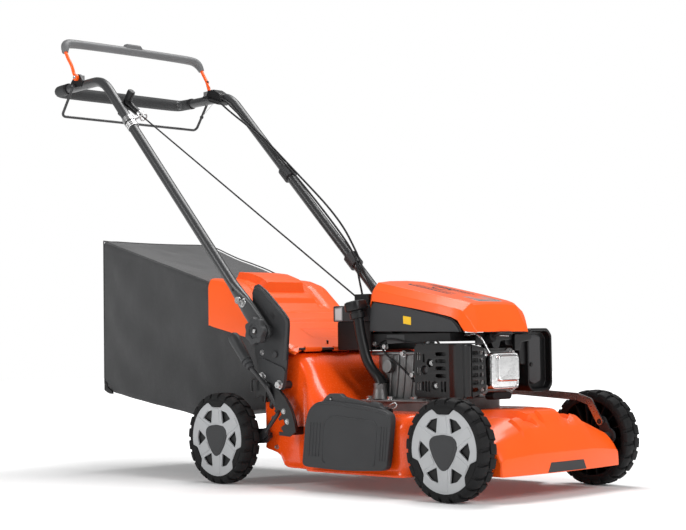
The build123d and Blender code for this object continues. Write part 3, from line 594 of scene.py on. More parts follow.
def make_tyre(name, body, centre, side):
    """A moulded tyre: a rounded carcass, two rows of lugs wrapped over its shoulders."""
    steps = 88
    profile = [
        (84, -21), (87, -22.5), (93, -23), (98, -20.5), (100.2, -14), (100.6, 0), (100.2, 14),
        (98, 20.5), (93, 23), (88.5, 23.2), (86.5, 21.5), (84, 20),
    ]
    rings = [
        [wheel_ring(centre, side, r, y, 2 * math.pi * k / steps) for r, y in profile]
        for k in range(steps)
    ]
    rings.append(rings[0])
    parts = [loft(name + "_carcass", rings, body, "tyre", 0, 50, caps=False)]
    count = 22
    pitch = 2 * math.pi / count
    for row in (-1, 1):
        section = [
            (99.5, row * 1.5), (104.7, row * 1.8), (104.9, row * 12), (104.0, row * 18.5),
            (100.8, row * 23.2), (95.5, row * 24.5), (91.5, row * 24.4), (91, row * 22.5),
            (98, row * 19),
        ]
        for k in range(count):
            start = (k + (0.25 if row > 0 else -0.25)) * pitch
            lug = []
            for share in (0.0, 0.36, 0.72):
                ring = []
                for r, y in section:
                    skew = 0.16 * pitch * (1 - abs(y) / 25)
                    ring.append(wheel_ring(centre, side, r, y, start + share * pitch + skew))
                lug.append(ring)
            parts.append(loft(f"lug_{name}_{row}_{k}", lug, body, "tyre", 1.1, 30))
    return join(name, parts)


def polar(radius, degrees):
    """A point from its radius and angle."""
    a = math.radians(degrees)
    return (radius * math.cos(a), radius * math.sin(a))


def rim_outline(radius, notch_radius, wide, narrow):
    """The light plate's edge, stepped inward where the tyre's three lobes sit."""
    corners = []
    for notch in (90, 210, 330):
        corners += [
            (*polar(radius, notch - wide), 1.5), (*polar(notch_radius, notch - narrow), 3),
            (*polar(notch_radius, notch + narrow), 3), (*polar(radius, notch + wide), 1.5),
        ]
        corners += [
            (*polar(radius, notch + wide + step * (120 - 2 * wide) / 12), 0)
            for step in range(1, 12)
        ]
    return rounded(corners, 2.0, 4)


def window_outline(degrees, inner, outer, spread, radius):
    """A three-sided window in the wheel disc."""
    a, b, c = polar(inner, degrees), polar(outer, degrees - spread), polar(outer, degrees + spread)
    return rounded([a, b, polar(outer + 2.5, degrees), c], radius, 4)


def make_rim(name, body, centre, side):
    """The wheel disc: light outer plate, black dish with ribs behind it, lobed hub cap."""
    axes = SIDE if side < 0 else (Vector((-1, 0, 0)), Vector((0, 0, 1)))

    def place(y):
        return P(centre[0], centre[1] + side * y, centre[2])

    windows = [window_outline(60 * k, 39.0, 67.0, 16.5, 3.0) for k in range(6)]
    plate = slab(
        name, [rim_outline(87.0, 73.5, 18.5, 12.0)] + windows, place(19.6), axes, 5.0, body,
        "light_rim", 1.1
    )
    raised = []
    for k in range(6):
        at = 30 + 60 * k
        out = 70.0 if k % 2 else 82.0
        outline = rounded(
            [polar(36, at - 17), polar(out, at - 7.0), polar(out, at + 7.0), polar(36, at + 17)], 3.0
        )
        raised.append(
            slab(f"{name}_spoke_{k}", [outline], place(22.4), axes, 1.8, body, "light_rim", 0.8)
        )
    join(name + "_spokes", raised)
    lobes = []
    for notch in (90, 210, 330):
        arc = [polar(88.5, notch + 19.5 - 3.25 * k) for k in range(13)]
        outline = rounded(
            [(*p, 0.4) for p in arc] + [(*polar(74.5, notch - 12), 2), (*polar(74.5, notch + 12), 2)],
            1.0
        )
        lobes.append(slab(f"{name}_lobe_{notch}", [outline], place(20.6), axes, 6.6, body, "tyre", 1.2))
    join(name + "_tyre_pads", lobes)
    cap_edge = []
    for k in range(72):
        a = 2 * math.pi * k / 72
        turn = a - math.radians(30)
        r = 35.2 + 4.6 * math.cos(3 * turn) + 0.9 * math.cos(6 * turn)
        cap_edge.append((r * math.cos(a), r * math.sin(a)))
    inner_edge = [(x * 0.8, y * 0.8) for x, y in cap_edge]
    slab(name + "_hub_cap", [cap_edge], place(21.6), axes, 5.0, body, "grey_plastic", 1.6)
    slab(name + "_hub_boss", [inner_edge], place(23.6), axes, 1.9, body, "grey_plastic", 0.8)
    dish = [
        (8.2, -24.6), (22, -24.6), (22, 4), (34, 8), (76, 9), (81, 6), (82, -21), (86, -21.6),
        (86.5, 15), (80, 17), (40, 15), (8.2, 15.5),
    ]
    steps = 64
    rings = [
        [wheel_ring(centre, side, r, y, 2 * math.pi * k / steps) for r, y in dish]
        for k in range(steps)
    ]
    rings.append(rings[0])
    ribs = [loft(name + "_dish", rings, body, "black_plastic", 0, 40, caps=False)]
    for k in range(18):
        a = 2 * math.pi * k / 18
        across = Vector((-math.sin(a), 0, math.cos(a))) * 1.1
        section = [(21, -22), (81.5, -17), (81.5, 8), (21, 5)]
        ring_a, ring_b = [], []
        for r, y in section:
            at = wheel_ring(centre, side, r, y, a)
            ring_a.append(at + across * MM)
            ring_b.append(at - across * MM)
        ribs.append(loft(f"{name}_rib_{k}", [ring_a, ring_b], body, "black_plastic", 0, 30))
    join(name + "_back", ribs)
    return plate


def make_wheels():
    """All four wheels, each round the middle of its own tyre."""
    for end in ("front", "rear"):
        for side_name, side in (("left", 1), ("right", -1)):
            corner = f"{end}_{side_name}"
            low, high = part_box(f"{end}_{side_name}_tyre")
            middle = (low + high) / 2
            centre = ((middle.x - AXLE.x) / MM, middle.y / MM, middle.z / MM)
            rubber = make_tyre(f"{corner}_tyre_lugged", f"{corner}_wheel", centre, side)
            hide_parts(f"{end}_{side_name}_tyre")
            plate = make_rim(f"{corner}_disc", f"{corner}_wheel", centre, side)
            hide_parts(f"{end}_{side_name}_rim")


make_wheels()


# ---- Deck ----

DECK_STATIONS = [
    # x, half width, top, shoulder radius, skirt bottom
    (88, 190, 300, 20, 82), (112, 190, 300, 21, 78), (147, 190, 300, 22, 70), (152, 190, 300, 22, 42),
    (180, 190, 300, 23, 41), (199, 190.5, 300, 25, 41),
    (206, 191, 297, 26, 41), (216, 192.5, 289, 29, 41), (228, 196, 278, 34, 41),
    (240, 203, 266, 40, 41), (252, 213, 253, 45, 41),
    (264, 223, 241, 50, 41), (276, 229.5, 230, 53, 41), (285, 232, 222, 54, 41),
    (296, 233, 213, 52, 41), (308, 233, 202, 48, 41),
    (320, 233, 192, 43, 41), (334, 233, 183, 40, 41), (350, 233, 176.5, 38, 41),
    (370, 233, 173, 37, 41), (420, 233, 172, 37, 41),
    (470, 233, 172, 37, 41), (520, 233, 172, 37, 41), (548, 233, 172, 37, 41), (562, 231, 172, 37, 41),
    (574, 222, 172, 37, 42),
    (584, 205, 171, 37, 43), (592, 188, 169, 36, 44), (598, 182, 164, 34, 44), (603, 176, 157, 30, 44),
    (612, 168, 151, 26, 44),
    (645, 136, 148, 22, 44), (676, 62, 146, 18, 44),
]


def deck_ring(x, wide, top, radius, low):
    """One cross-section of the deck, from its right skirt over the top to its left skirt."""
    lip = 3.5 if x > 150 else 1.0
    half = [
        (wide + lip, low), (wide + lip, low + 5), (wide, low + 9), (wide, max(78, low + 12)),
        (wide, max(106, low + 16)), (wide, top - radius),
    ]
    for k in range(1, 7):
        a = math.pi / 2 * k / 6
        half.append((wide - radius + radius * math.cos(a), top - radius + radius * math.sin(a)))
    inner = wide - radius
    for share in (0.86, 0.7, 0.5, 0.3, 0.12):
        half.append((inner * share, top + 1.5 * (1 - share)))
    return [P(x, -y, z) for y, z in half] + [P(x, 0, top + 1.5)] + [P(x, y, z) for y, z in reversed(half)]


def make_deck():
    """The pressed deck as one skin with its side opening, and the wall round its rear outlet."""
    rings = [deck_ring(*station) for station in DECK_STATIONS]
    count = len(rings[0])
    points = [p for ring in rings for p in ring]
    faces = []
    for r in range(len(rings) - 1):
        x0, x1 = DECK_STATIONS[r][0], DECK_STATIONS[r + 1][0]
        for i in range(count - 1):
            side_opening = i in (3, 4) and x0 >= 285 and x1 <= 520
            if not side_opening:
                faces.append(
                    (r * count + i, r * count + i + 1, (r + 1) * count + i + 1, (r + 1) * count + i)
                )
    faces.append(tuple(range((len(rings) - 1) * count, len(rings) * count)))
    mesh = bpy.data.meshes.new("deck_skin")
    mesh.from_pydata([tuple(p) for p in points], [], faces)
    finish_mesh(mesh, 40)
    deck = keep(bpy.data.objects.new("deck_skin", mesh))
    skin = deck.modifiers.new("steel", "SOLIDIFY")
    skin.thickness = 2.5 * MM
    skin.offset = -1
    smooth = deck.modifiers.new("flow", "SUBSURF")
    smooth.levels = smooth.render_levels = 1
    paint(deck, "orange_steel")
    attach(deck, "chassis")
    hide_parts("deck_shell")
    wall = rounded([(-188, 156), (188, 156), (188, 297), (-188, 297)], 14)
    outlet = rounded([(-140, 162), (140, 162), (140, 294), (-140, 294)], 8)
    front_slab("deck_outlet_wall", [wall, outlet], 90, 3.0, "orange_steel", 0.6)


make_deck()


# ---- Engine hood ----

def hood_section(x, top, edge_y, edge_z, side_y, side_z, low_y, low_z):
    """Half of the hood's cross-section at x, mirrored to a whole open ring."""
    half = [
        (low_y, low_z), (side_y, side_z), (edge_y, edge_z),
        (edge_y * 0.6, edge_z + (top - edge_z) * 0.7),
    ]
    return [P(x, -y, z) for y, z in half] + [P(x, 0, top)] + [P(x, y, z) for y, z in reversed(half)]


HOOD = [
    # x, centre top, edge y, edge z, side y, side z, low y, low z
    (345, 424, 86, 421, 92, 412, 95, 396), (350, 444, 88, 441, 98, 428, 103, 404),
    (364, 458, 91, 453, 106, 438, 113, 413),
    (400, 450.5, 92, 446, 107.5, 431, 113, 408), (440, 442, 91.5, 438, 108, 423, 113, 402),
    (480, 433.5, 90, 430, 108, 415, 113, 395.5),
    (520, 425, 88, 422, 107.5, 407, 113, 388.5), (560, 417, 84, 414, 106, 399, 112, 381),
    (590, 410.5, 79, 408, 103, 392, 108, 374),
    (608, 406, 74, 403.5, 100, 388, 105, 366), (616, 403.5, 71, 401, 98, 384, 103, 352),
    (622, 399, 69, 396.5, 96, 376, 101, 343),
    (629, 383, 71, 381, 92, 366, 95, 341), (636, 362, 75, 361, 88, 352, 90, 340.5),
    (642, 341, 80, 340.6, 83, 340.3, 84, 340),
]


def make_hood():
    """The engine hood with its grey side panels and their lips."""
    rings = [hood_section(*row) for row in HOOD]
    hood = loft("hood_shell", rings, "chassis", "orange_plastic", 0, 26, closed=False)
    thicken(hood, 2.6)
    bevel = hood.modifiers.new("edges", "BEVEL")
    bevel.width, bevel.segments, bevel.limit_method = 2.4 * MM, 3, "ANGLE"
    bevel.angle_limit = math.radians(13)
    hood.modifiers.move(2, 1)
    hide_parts("engine_cover")
    back = [(-86, 421), (-92, 412), (-95, 396), (-95, 345), (95, 345), (95, 396), (92, 412), (86, 421)]
    front_slab("hood_back", [rounded(back, 3)], 347, 3.0, "orange_plastic", 1.0)
    panel = [
        (352, 346, 4), (356, 398, 5), (366, 411.5, 5), (450, 400, 40), (560, 377, 40), (597, 366, 18),
        (611, 352, 6), (616, 341.5, 3), (560, 342.5, 20), (440, 345, 20),
    ]
    for side in (-1, 1):
        skin = side_slab(
            f"hood_panel_{side}", [rounded(panel, 4, 6)], side * 109.6, 5.6, "chassis", "grey_plastic",
            2.0
        )
        lip = [
            (356, 404, 3), (366, 414, 3), (450, 403, 40), (560, 380, 40), (600, 368, 16), (617, 352, 6),
            (621, 341.5, 2), (616, 341.5, 2), (611, 350, 6), (597, 364, 16), (560, 375, 40),
            (450, 398, 40), (366, 409, 3),
        ]
        side_slab(
            f"hood_lip_{side}", [rounded(lip, 3, 5)], side * 107.8, 3.0, "chassis", "black_plastic", 0.8
        )
        if side < 0:
            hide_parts("trim_panels")
            label = rounded([(457, 362), (480, 358.5), (480, 375.5), (457, 379)], 1.0)
            side_slab("warning_plate_blank", [label], -112.7, 0.7, "chassis", "yellow_label", 0.2)


def on_hood(x, y, lift):
    """A point over the hood's flat top."""
    return P(x, y, curve_at([(row[0], row[1]) for row in HOOD], x) - 1.5 * (abs(y) / 60) + lift)


def make_grille():
    """The intake grille and the blank badge plate on top of the hood."""
    slope = math.atan(0.2115)
    along = Vector((math.cos(slope), 0, -math.sin(slope)))
    axes = (along, Vector((0, 1, 0)))
    frame_outline = rounded(
        [(-70, -44, 14), (58, -46, 16), (74, -30, 12), (74, 30, 12), (58, 46, 16), (-70, 44, 14)], 10, 5
    )
    inner = rounded(
        [(-64, -38, 12), (54, -40, 14), (67, -26, 10), (67, 26, 10), (54, 40, 14), (-64, 38, 12)], 8, 5
    )
    middle = on_hood(470, 0, 0.6)
    slab("grille_frame", [frame_outline, inner], middle, axes, 3.0, "chassis", "grey_plastic", 0.8)
    slab(
        "grille_bed", [[(x * 0.97, y * 0.97) for x, y in frame_outline]],
        middle - Vector((0, 0, 0.6 * MM)), axes, 1.2, "chassis", "black_plastic", 0.3
    )
    parts = []
    for k in range(11):
        x = -56 + 11.2 * k
        reach = 37 if x < 52 else 28
        outline = rounded([(x, -reach), (x + 4.2, -reach), (x + 7.5, reach), (x + 3.3, reach)], 1.2)
        parts.append(
            slab(
                f"grille_bar_{k}", [outline], middle + Vector((0, 0, 0.8 * MM)), axes, 2.0, "chassis",
                "dark_mesh", 0.6
            )
        )
    join("grille_bars", parts)
    ring = circle(-6, 6, 22, 36)
    slab(
        "grille_ring", [ring, circle(-6, 6, 17, 36)], middle + Vector((0, 0, 1.2 * MM)), axes, 2.2,
        "chassis", "dark_mesh", 0.7
    )
    plate_middle = on_hood(588, 0, 1.2)
    plate = rounded([(-30, -47, 3), (24, -40, 4), (27, 0, 8), (24, 40, 4), (-30, 47, 3)], 3)
    slab("badge_plate_blank", [plate], plate_middle, axes, 1.2, "chassis", "silver_mesh", 0.4)
    ridges = []
    for k in range(9):
        x = -26 + 5.6 * k
        outline = rounded([(x, -38), (x + 2.2, -38), (x + 2.2, 38), (x, 38)], 0.8)
        ridges.append(
            slab(
                f"badge_ridge_{k}", [outline], plate_middle + Vector((0, 0, 1.0 * MM)), axes, 0.8,
                "chassis", "silver_mesh", 0.3
            )
        )
    join("badge_ridges", ridges)


make_hood()
make_grille()


# ---- Front cover ----

NOSE_CENTRE = [
    (600, 161), (640, 163.5), (700, 165), (732, 163), (752, 154), (770, 136), (784, 112), (793, 94),
]
NOSE_SIDE = [(600, 151), (637, 148), (675, 140), (735, 128.5), (770, 116), (784, 101), (793, 86)]


def nose_half(x):
    """Half the width of the nose's raised bonnet."""
    return curve_at([(600, 86), (700, 68), (738, 54), (752, 42)], x)


def nose_height(x, y):
    """The height of the front cover's top: bonnet, scoop, side channels and crease lines."""
    across = abs(y)
    centre, side = curve_at(NOSE_CENTRE, x), curve_at(NOSE_SIDE, x)
    z = centre + (side - centre) * ramp_between(92, 188, across) ** 1.15
    half = nose_half(x)
    fade = ramp_between(600, 604, x) * (1 - ramp_between(740, 754, x))
    z += 11.0 * (1 - ramp_between(half, half + 4, across)) * fade
    z += 10.0 * (
        1 - ramp_between(24, 29, across)
    ) * ramp_between(738, 752, x) * (1 - ramp_between(760, 766, x))
    z += 6.0 * (
        1 - ramp_between(104, 109, across)
    ) * ramp_between(742, 746, x) * (1 - ramp_between(770, 790, x))
    channel = ramp_between(half + 5, half + 9, across) * (1 - ramp_between(half + 32, half + 42, across))
    return z - 9.0 * channel * ramp_between(612, 632, x) * (1 - ramp_between(752, 772, x))


def nose_columns(x):
    """Distances across the nose, placed so that mesh edges follow the bonnet's and channels' edges."""
    half = nose_half(x)
    return [
        0, 12, 24, 29, half * 0.75, half - 3, half, half + 5, half + 9, half + 20, half + 32, half + 42,
        104, 109, 138, 152, 165, 176, 184, 189, 192.5,
    ]


def make_nose_insert():
    """The grey panel let into the front face, following its bow."""
    steps, foot, top, foot_half, top_half = 14, 53.0, 73.0, 64.0, 54.0
    points, faces = [], []
    for depth in (-2.0, 0.9):
        for z, half in ((foot, foot_half), (top, top_half)):
            for k in range(steps + 1):
                y = half * (2 * k / steps - 1)
                points.append(P(797.6 + 13.0 * (1 - (y / 194) ** 2) + depth, y, z))
    row = steps + 1
    for k in range(steps):
        faces += [
            (2 * row + k, 2 * row + k + 1, 3 * row + k + 1, 3 * row + k),
            (k, row + k, row + k + 1, k + 1),
        ]
        faces += [
            (row + k, 3 * row + k, 3 * row + k + 1, row + k + 1),
            (k, k + 1, 2 * row + k + 1, 2 * row + k),
        ]
    faces += [(0, 2 * row, 3 * row, row), (steps, row + steps, 3 * row + steps, 2 * row + steps)]
    solid("nose_insert", points, faces, "chassis", "grey_plastic", 0.6, 30)


def make_nose():
    """The cover over the deck's nose, as one sheet: side walls, top and bowed front face."""
    xs = [
        601, 604, 612, 622, 632, 650, 670, 690, 706, 716, 720, 728, 736, 742, 746, 750, 754, 758, 763,
        768, 772, 778, 784, 789, 793,
    ]
    rings = []
    for x in xs:
        columns = sorted(nose_columns(x))
        ring = [P(x, -194, 52), P(x, -194, 60), P(x, -194, nose_height(x, 194) - 8)]
        for y in [-c for c in reversed(columns[1:])] + columns:
            edge_drop = 5.0 * max(0.0, (abs(y) - 182) / 10.5) ** 2
            bow = 13.0 * (1 - (abs(y) / 194) ** 2) * ramp_between(735, 793, x)
            ring.append(P(x + bow, y, nose_height(x, y) - edge_drop))
        ring += [P(x, 194, nose_height(x, 194) - 8), P(x, 194, 60), P(x, 194, 52)]
        rings.append(ring)
    last = rings[-1]
    for fall, push in ((0.04, 1.4), (0.5, 2.2), (0.96, 2.2), (1.0, 1.8)):
        rings.append(
            [
                Vector((p.x + (push * MM if abs(p.y) < 0.1935 else 0), p.y, p.z + (52 * MM - p.z) * fall))
                for p in last
            ]
        )
    nose = loft("nose_cover", rings, "chassis", "orange_plastic", 0.9, 20, closed=False)
    thicken(nose, 2.4)
    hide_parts("front_cover")
    make_nose_insert()
    badge = rounded([(-24, -12, 10), (24, -12, 10), (24, 12, 10), (-24, 12, 10)], 10, 6)
    top = P(668, 0, nose_height(668, 0) + 3.0)
    slab(
        "nose_badge_blank", [badge, [(x * 0.86, y * 0.8) for x, y in badge]], top, PLAN, 1.4, "chassis",
        "silver_mesh", 0.4
    )


make_nose()


# ---- Rear flap ----

FLAP_TOP = [(203, 303), (9, 398), (-65, 462), (-108, 476), (-150, 481)]


def flap_wide(x):
    """Half the flap's width."""
    return curve_at([(-170, 152.5), (0, 152.5), (120, 197.5), (215, 197.5)], x)


def flap_lift(along, y):
    """Raised and sunk areas on the flap; along is the distance from the hinge."""
    across = abs(y)
    lift = 0.0
    hold = (1 - ramp_between(58, 66, across)) * ramp_between(286, 306, along)
    lift += 17.0 * hold
    lift += 5.0 * (1 - ramp_between(70, 84, across)) * ramp_between(246, 262, along) * (
        1 - ramp_between(276, 288, along)
    )
    lift -= 4.0 * ramp_between(72, 80, across) * (
        1 - ramp_between(96, 104, across)
    ) * ramp_between(226, 242, along)
    lift += 5.0 * (
        1 - ramp_between(108, 122, across)
    ) * ramp_between(150, 162, along) * (1 - ramp_between(196, 212, along))
    lift -= 3.0 * (1 - ramp_between(80, 90, across)) * ramp_between(64, 72, along) * (
        1 - ramp_between(110, 118, along)
    )
    lift += 3.5 * (1 - ramp_between(16, 22, along))
    return lift


def make_flap():
    """The rear flap as one sheet with its raised hand hold, and its hinge barrels."""
    lengths = [0.0]
    for (x0, z0), (x1, z1) in zip(FLAP_TOP, FLAP_TOP[1:]):
        lengths.append(lengths[-1] + math.hypot(x1 - x0, z1 - z0))
    total = lengths[-1]
    x_at = list(zip(lengths, [x for x, _ in FLAP_TOP]))
    z_at = list(zip(lengths, [z for _, z in FLAP_TOP]))
    cuts = sorted(
        {
            0, 4, 10, 16, 22, 64, 72, 110, 118, 150, 162, 196, 212, 226, 242, 246, 262, 276, 286, 288,
            296, 306, 318, 330, 345, 358, total,
        } | {total * k / 34 for k in range(35)}
    )
    low_edge = [(-158, 372), (-146, 366), (-8, 336), (150, 306), (203, 301)]
    rings = []
    for along in cuts:
        x, z = curve_at(x_at, along), curve_at(z_at, along)
        ahead, behind = min(total, along + 12), max(0, along - 12)
        dx = curve_at(x_at, ahead) - curve_at(x_at, behind)
        dz = curve_at(z_at, ahead) - curve_at(z_at, behind)
        size = math.hypot(dx, dz)
        nx, nz = (dz / size, -dx / size)
        wide = flap_wide(x)
        low = min(curve_at(low_edge, x), z - 2)
        ring = [
            (wide, low), (wide, low + (z - 12 - low) * 0.5), (wide, max(low + 1, z - 12)),
            (wide - 3, z - 4.0), (wide - 10, z - 0.8),
        ]
        half = [P(x, -y, h) for y, h in ring]
        mid = []
        for y in (wide - 18, 134, 122, 112, 106, 100, 96, 90, 84, 80, 76, 72, 66, 58, 48, 36, 24, 12, 0):
            y = min(y, wide - 18)
            lift = flap_lift(along, y)
            mid.append((y, x + nx * lift, z + nz * lift))
        right = [P(a, -y, h) for y, a, h in mid]
        left = [P(a, y, h) for y, a, h in reversed(mid[:-1])]
        rings.append(half + right + left + [P(x, y, h) for y, h in reversed(ring)])
    rear = []
    for p in rings[-1]:
        rear.append(Vector((p.x - 5 * MM, p.y, p.z - (9 * MM if p.z > 0.46 else 0))))
    rings.append(rear)
    flap = loft("flap_shell", rings, "rear_flap", "orange_plastic", 0, 24, closed=False)
    thicken(flap, 2.6)
    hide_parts("rear_flap")
    hinge = []
    for y in (-150, -60, 60, 150):
        hinge.append(
            turned(
                f"flap_hinge_{y}", [(-25, 5.2), (-24, 6.2), (24, 6.2), (25, 5.2)], (208, y, 309),
                (0, 1, 0), "rear_flap", "orange_plastic", 24
            )
        )
    join("flap_hinge_barrels", hinge)
    side_slab(
        "flap_slot", [rounded([(172, 318), (176, 316), (176, 327), (172, 329)], 1)], -70, 3,
        "rear_flap", "black_plastic", 0.3
    )


make_flap()


# ---- Grass bag ----

def bag_low(x):
    """The bag's lower edge."""
    return curve_at([(-554, 228), (-546, 212), (-529, 200), (-201, 144), (84, 173)], x)


def bag_top(x):
    """The bag's upper edge."""
    return curve_at([(-554, 596), (-112, 460), (84, 341)], x)


def bag_half(x):
    """Half the bag's width."""
    return curve_at([(-554, 178.5), (-112, 145.5), (84, 143.5)], x)


def wrinkle(p, scale, seed):
    """Smooth noise for the folds in the cloth."""
    return noise.noise(Vector((p[0] * scale + seed, p[1] * scale, p[2] * scale * 0.6)))


def bag_point(x, u, v):
    """A point on the bag's cross-section at x. u runs across the top or side, v names the panel."""
    half, top, low = bag_half(x), bag_top(x), bag_low(x)
    mid_x = ramp_between(-554, -420, x) * (1 - ramp_between(-180, -60, x))
    if v == "top":
        sag = (1 - u * u) * 9.0 * (0.35 + 0.65 * mid_x)
        crease = -3.0 * math.exp(-((abs(u) - 0.93) / 0.05) ** 2)
        return half * u, top - sag + crease
    if v == "bottom":
        return half * u, low - 2.0 * (1 - u * u)
    share = u
    belly = math.sin(math.pi * share) * (3.5 * mid_x) - 5.0 * math.exp(
        -((share - 0.94) / 0.05) ** 2
    ) * mid_x
    return half + belly, low + (top - low) * share


def make_bag():
    """The bag as a lofted, sagging cloth shell, open at its mouth."""
    xs = [
        84, 60, 32, 4, -24, -52, -80, -104, -112, -122, -134, -146, -158, -170, -182, -194, -206, -220,
        -236, -254, -274, -296, -318, -340, -362, -384, -406, -428, -448, -466, -482, -498, -512, -524,
        -534, -542, -548, -552,
    ]
    side_steps, top_steps = 22, 18
    rings = []
    for x in xs:
        ring = []
        for k in range(side_steps):
            y, z = bag_point(x, k / side_steps, "side")
            ring.append([x, -y, z])
        for k in range(top_steps + 1):
            y, z = bag_point(x, -1 + 2 * k / top_steps, "top")
            ring.append([x, y, z])
        for k in range(side_steps - 1, -1, -1):
            y, z = bag_point(x, k / side_steps, "side")
            ring.append([x, y, z])
        for k in range(1, top_steps):
            y, z = bag_point(x, 1 - 2 * k / top_steps, "bottom")
            ring.append([x, y, z])
        rings.append(ring)
    outward = []
    for x, ring in zip(xs, rings):
        loose = ramp_between(-548, -500, x) * (1 - 0.8 * ramp_between(-120, -40, x))
        middle_z = (bag_low(x) + bag_top(x)) / 2
        out = []
        for q in ring:
            wave = 4.2 * wrinkle(q, 0.010, 3.1) + 2.0 * wrinkle(q, 0.028, 9.7)
            diagonal = math.sin((q[0] * 0.7 + q[2]) * 0.045 + 2.2 * wrinkle(q, 0.006, 5.0))
            wave += 1.7 * diagonal * (1 if abs(q[1]) > 140 else 0.3)
            away = Vector((0, q[1], (q[2] - middle_z) * 0.4)).normalized()
            out.append(P(q[0], q[1] + away.y * wave * loose, q[2] + away.z * wave * loose))
        outward.append(out)
    count = len(outward[0])
    rear = outward[-1]
    middle = Vector((rear[0].x, 0, sum(p.z for p in rear) / count))
    for share, back in ((0.985, 1.5), (0.94, 2.0), (0.8, -1.5), (0.6, -4.0), (0.4, -5.5), (0.2, -6.0)):
        ring = []
        for p in rear:
            q = middle + (p - middle) * share
            ring.append(
                Vector(
                    (
                        rear[0].x - back * MM + 2.0 * MM * wrinkle(
                            (q.x / MM, q.y / MM, q.z / MM), 0.012, 1.5
                        ),
                        q.y, q.z,
                    )
                )
            )
        outward.append(ring)
    points = [p for ring in outward for p in ring]
    faces = []
    for r in range(len(outward) - 1):
        for i in range(count):
            a, b = r * count + i, r * count + (i + 1) % count
            faces.append((a, b, b + count, a + count))
    last = (len(outward) - 1) * count
    faces.append(tuple(range(last, last + count)))
    bag = solid("bag_cloth", points, faces, "grass_bag", "bag_fabric", 0, 60)
    bag.modifiers.clear()
    skin = bag.modifiers.new("cloth", "SOLIDIFY")
    skin.thickness, skin.offset = 1.6 * MM, -1
    smooth = bag.modifiers.new("soft", "SUBSURF")
    smooth.levels = smooth.render_levels = 1
    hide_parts("grass_bag")
    make_bag_trim(outward, xs, side_steps, top_steps)


def make_bag_trim(rings, xs, side_steps, top_steps):
    """Piping along the bag's top edges and down its rear corners, with black corner guards below."""
    def strip_along(name, path, radius):
        points = [((p.x - AXLE.x) / MM, p.y / MM, p.z / MM) for p in path]
        return wire(name, points, radius, "grass_bag", "bag_fabric")

    right = [rings[r][side_steps] for r in range(0, len(xs))]
    left = [rings[r][side_steps + top_steps] for r in range(0, len(xs))]
    strip_along("bag_piping_right", right, 1.7)
    strip_along("bag_piping_left", left, 1.7)
    rear = rings[len(xs) - 1]
    strip_along("bag_piping_rear_right", [rear[k] for k in range(0, side_steps + 1)], 1.6)
    strip_along("bag_piping_rear_top", rear[side_steps:side_steps + top_steps + 1], 1.6)
    count = side_steps + top_steps
    strip_along("bag_piping_rear_left", rear[count:count + side_steps], 1.6)
    for side in (-1, 1):
        corner = rounded(
            [
                (-553, 206, 3), (-553, 232, 3), (-541, 226, 4), (-538, 214, 3), (-520, 205, 4),
                (-516, 197, 3), (-532, 197, 8),
            ],
            3
        )
        side_slab(f"bag_corner_{side}", [corner], side * 177.2, 5.0, "grass_bag", "black_plastic", 1.2)


make_bag()


# ---- Side cover ----

COVER_SIDE = [(212, -231.5), (200, -238), (180, -244), (150, -250), (66, -259)]


def cover_y(z):
    """How far out the side cover's face stands."""
    return curve_at(sorted(COVER_SIDE), z)


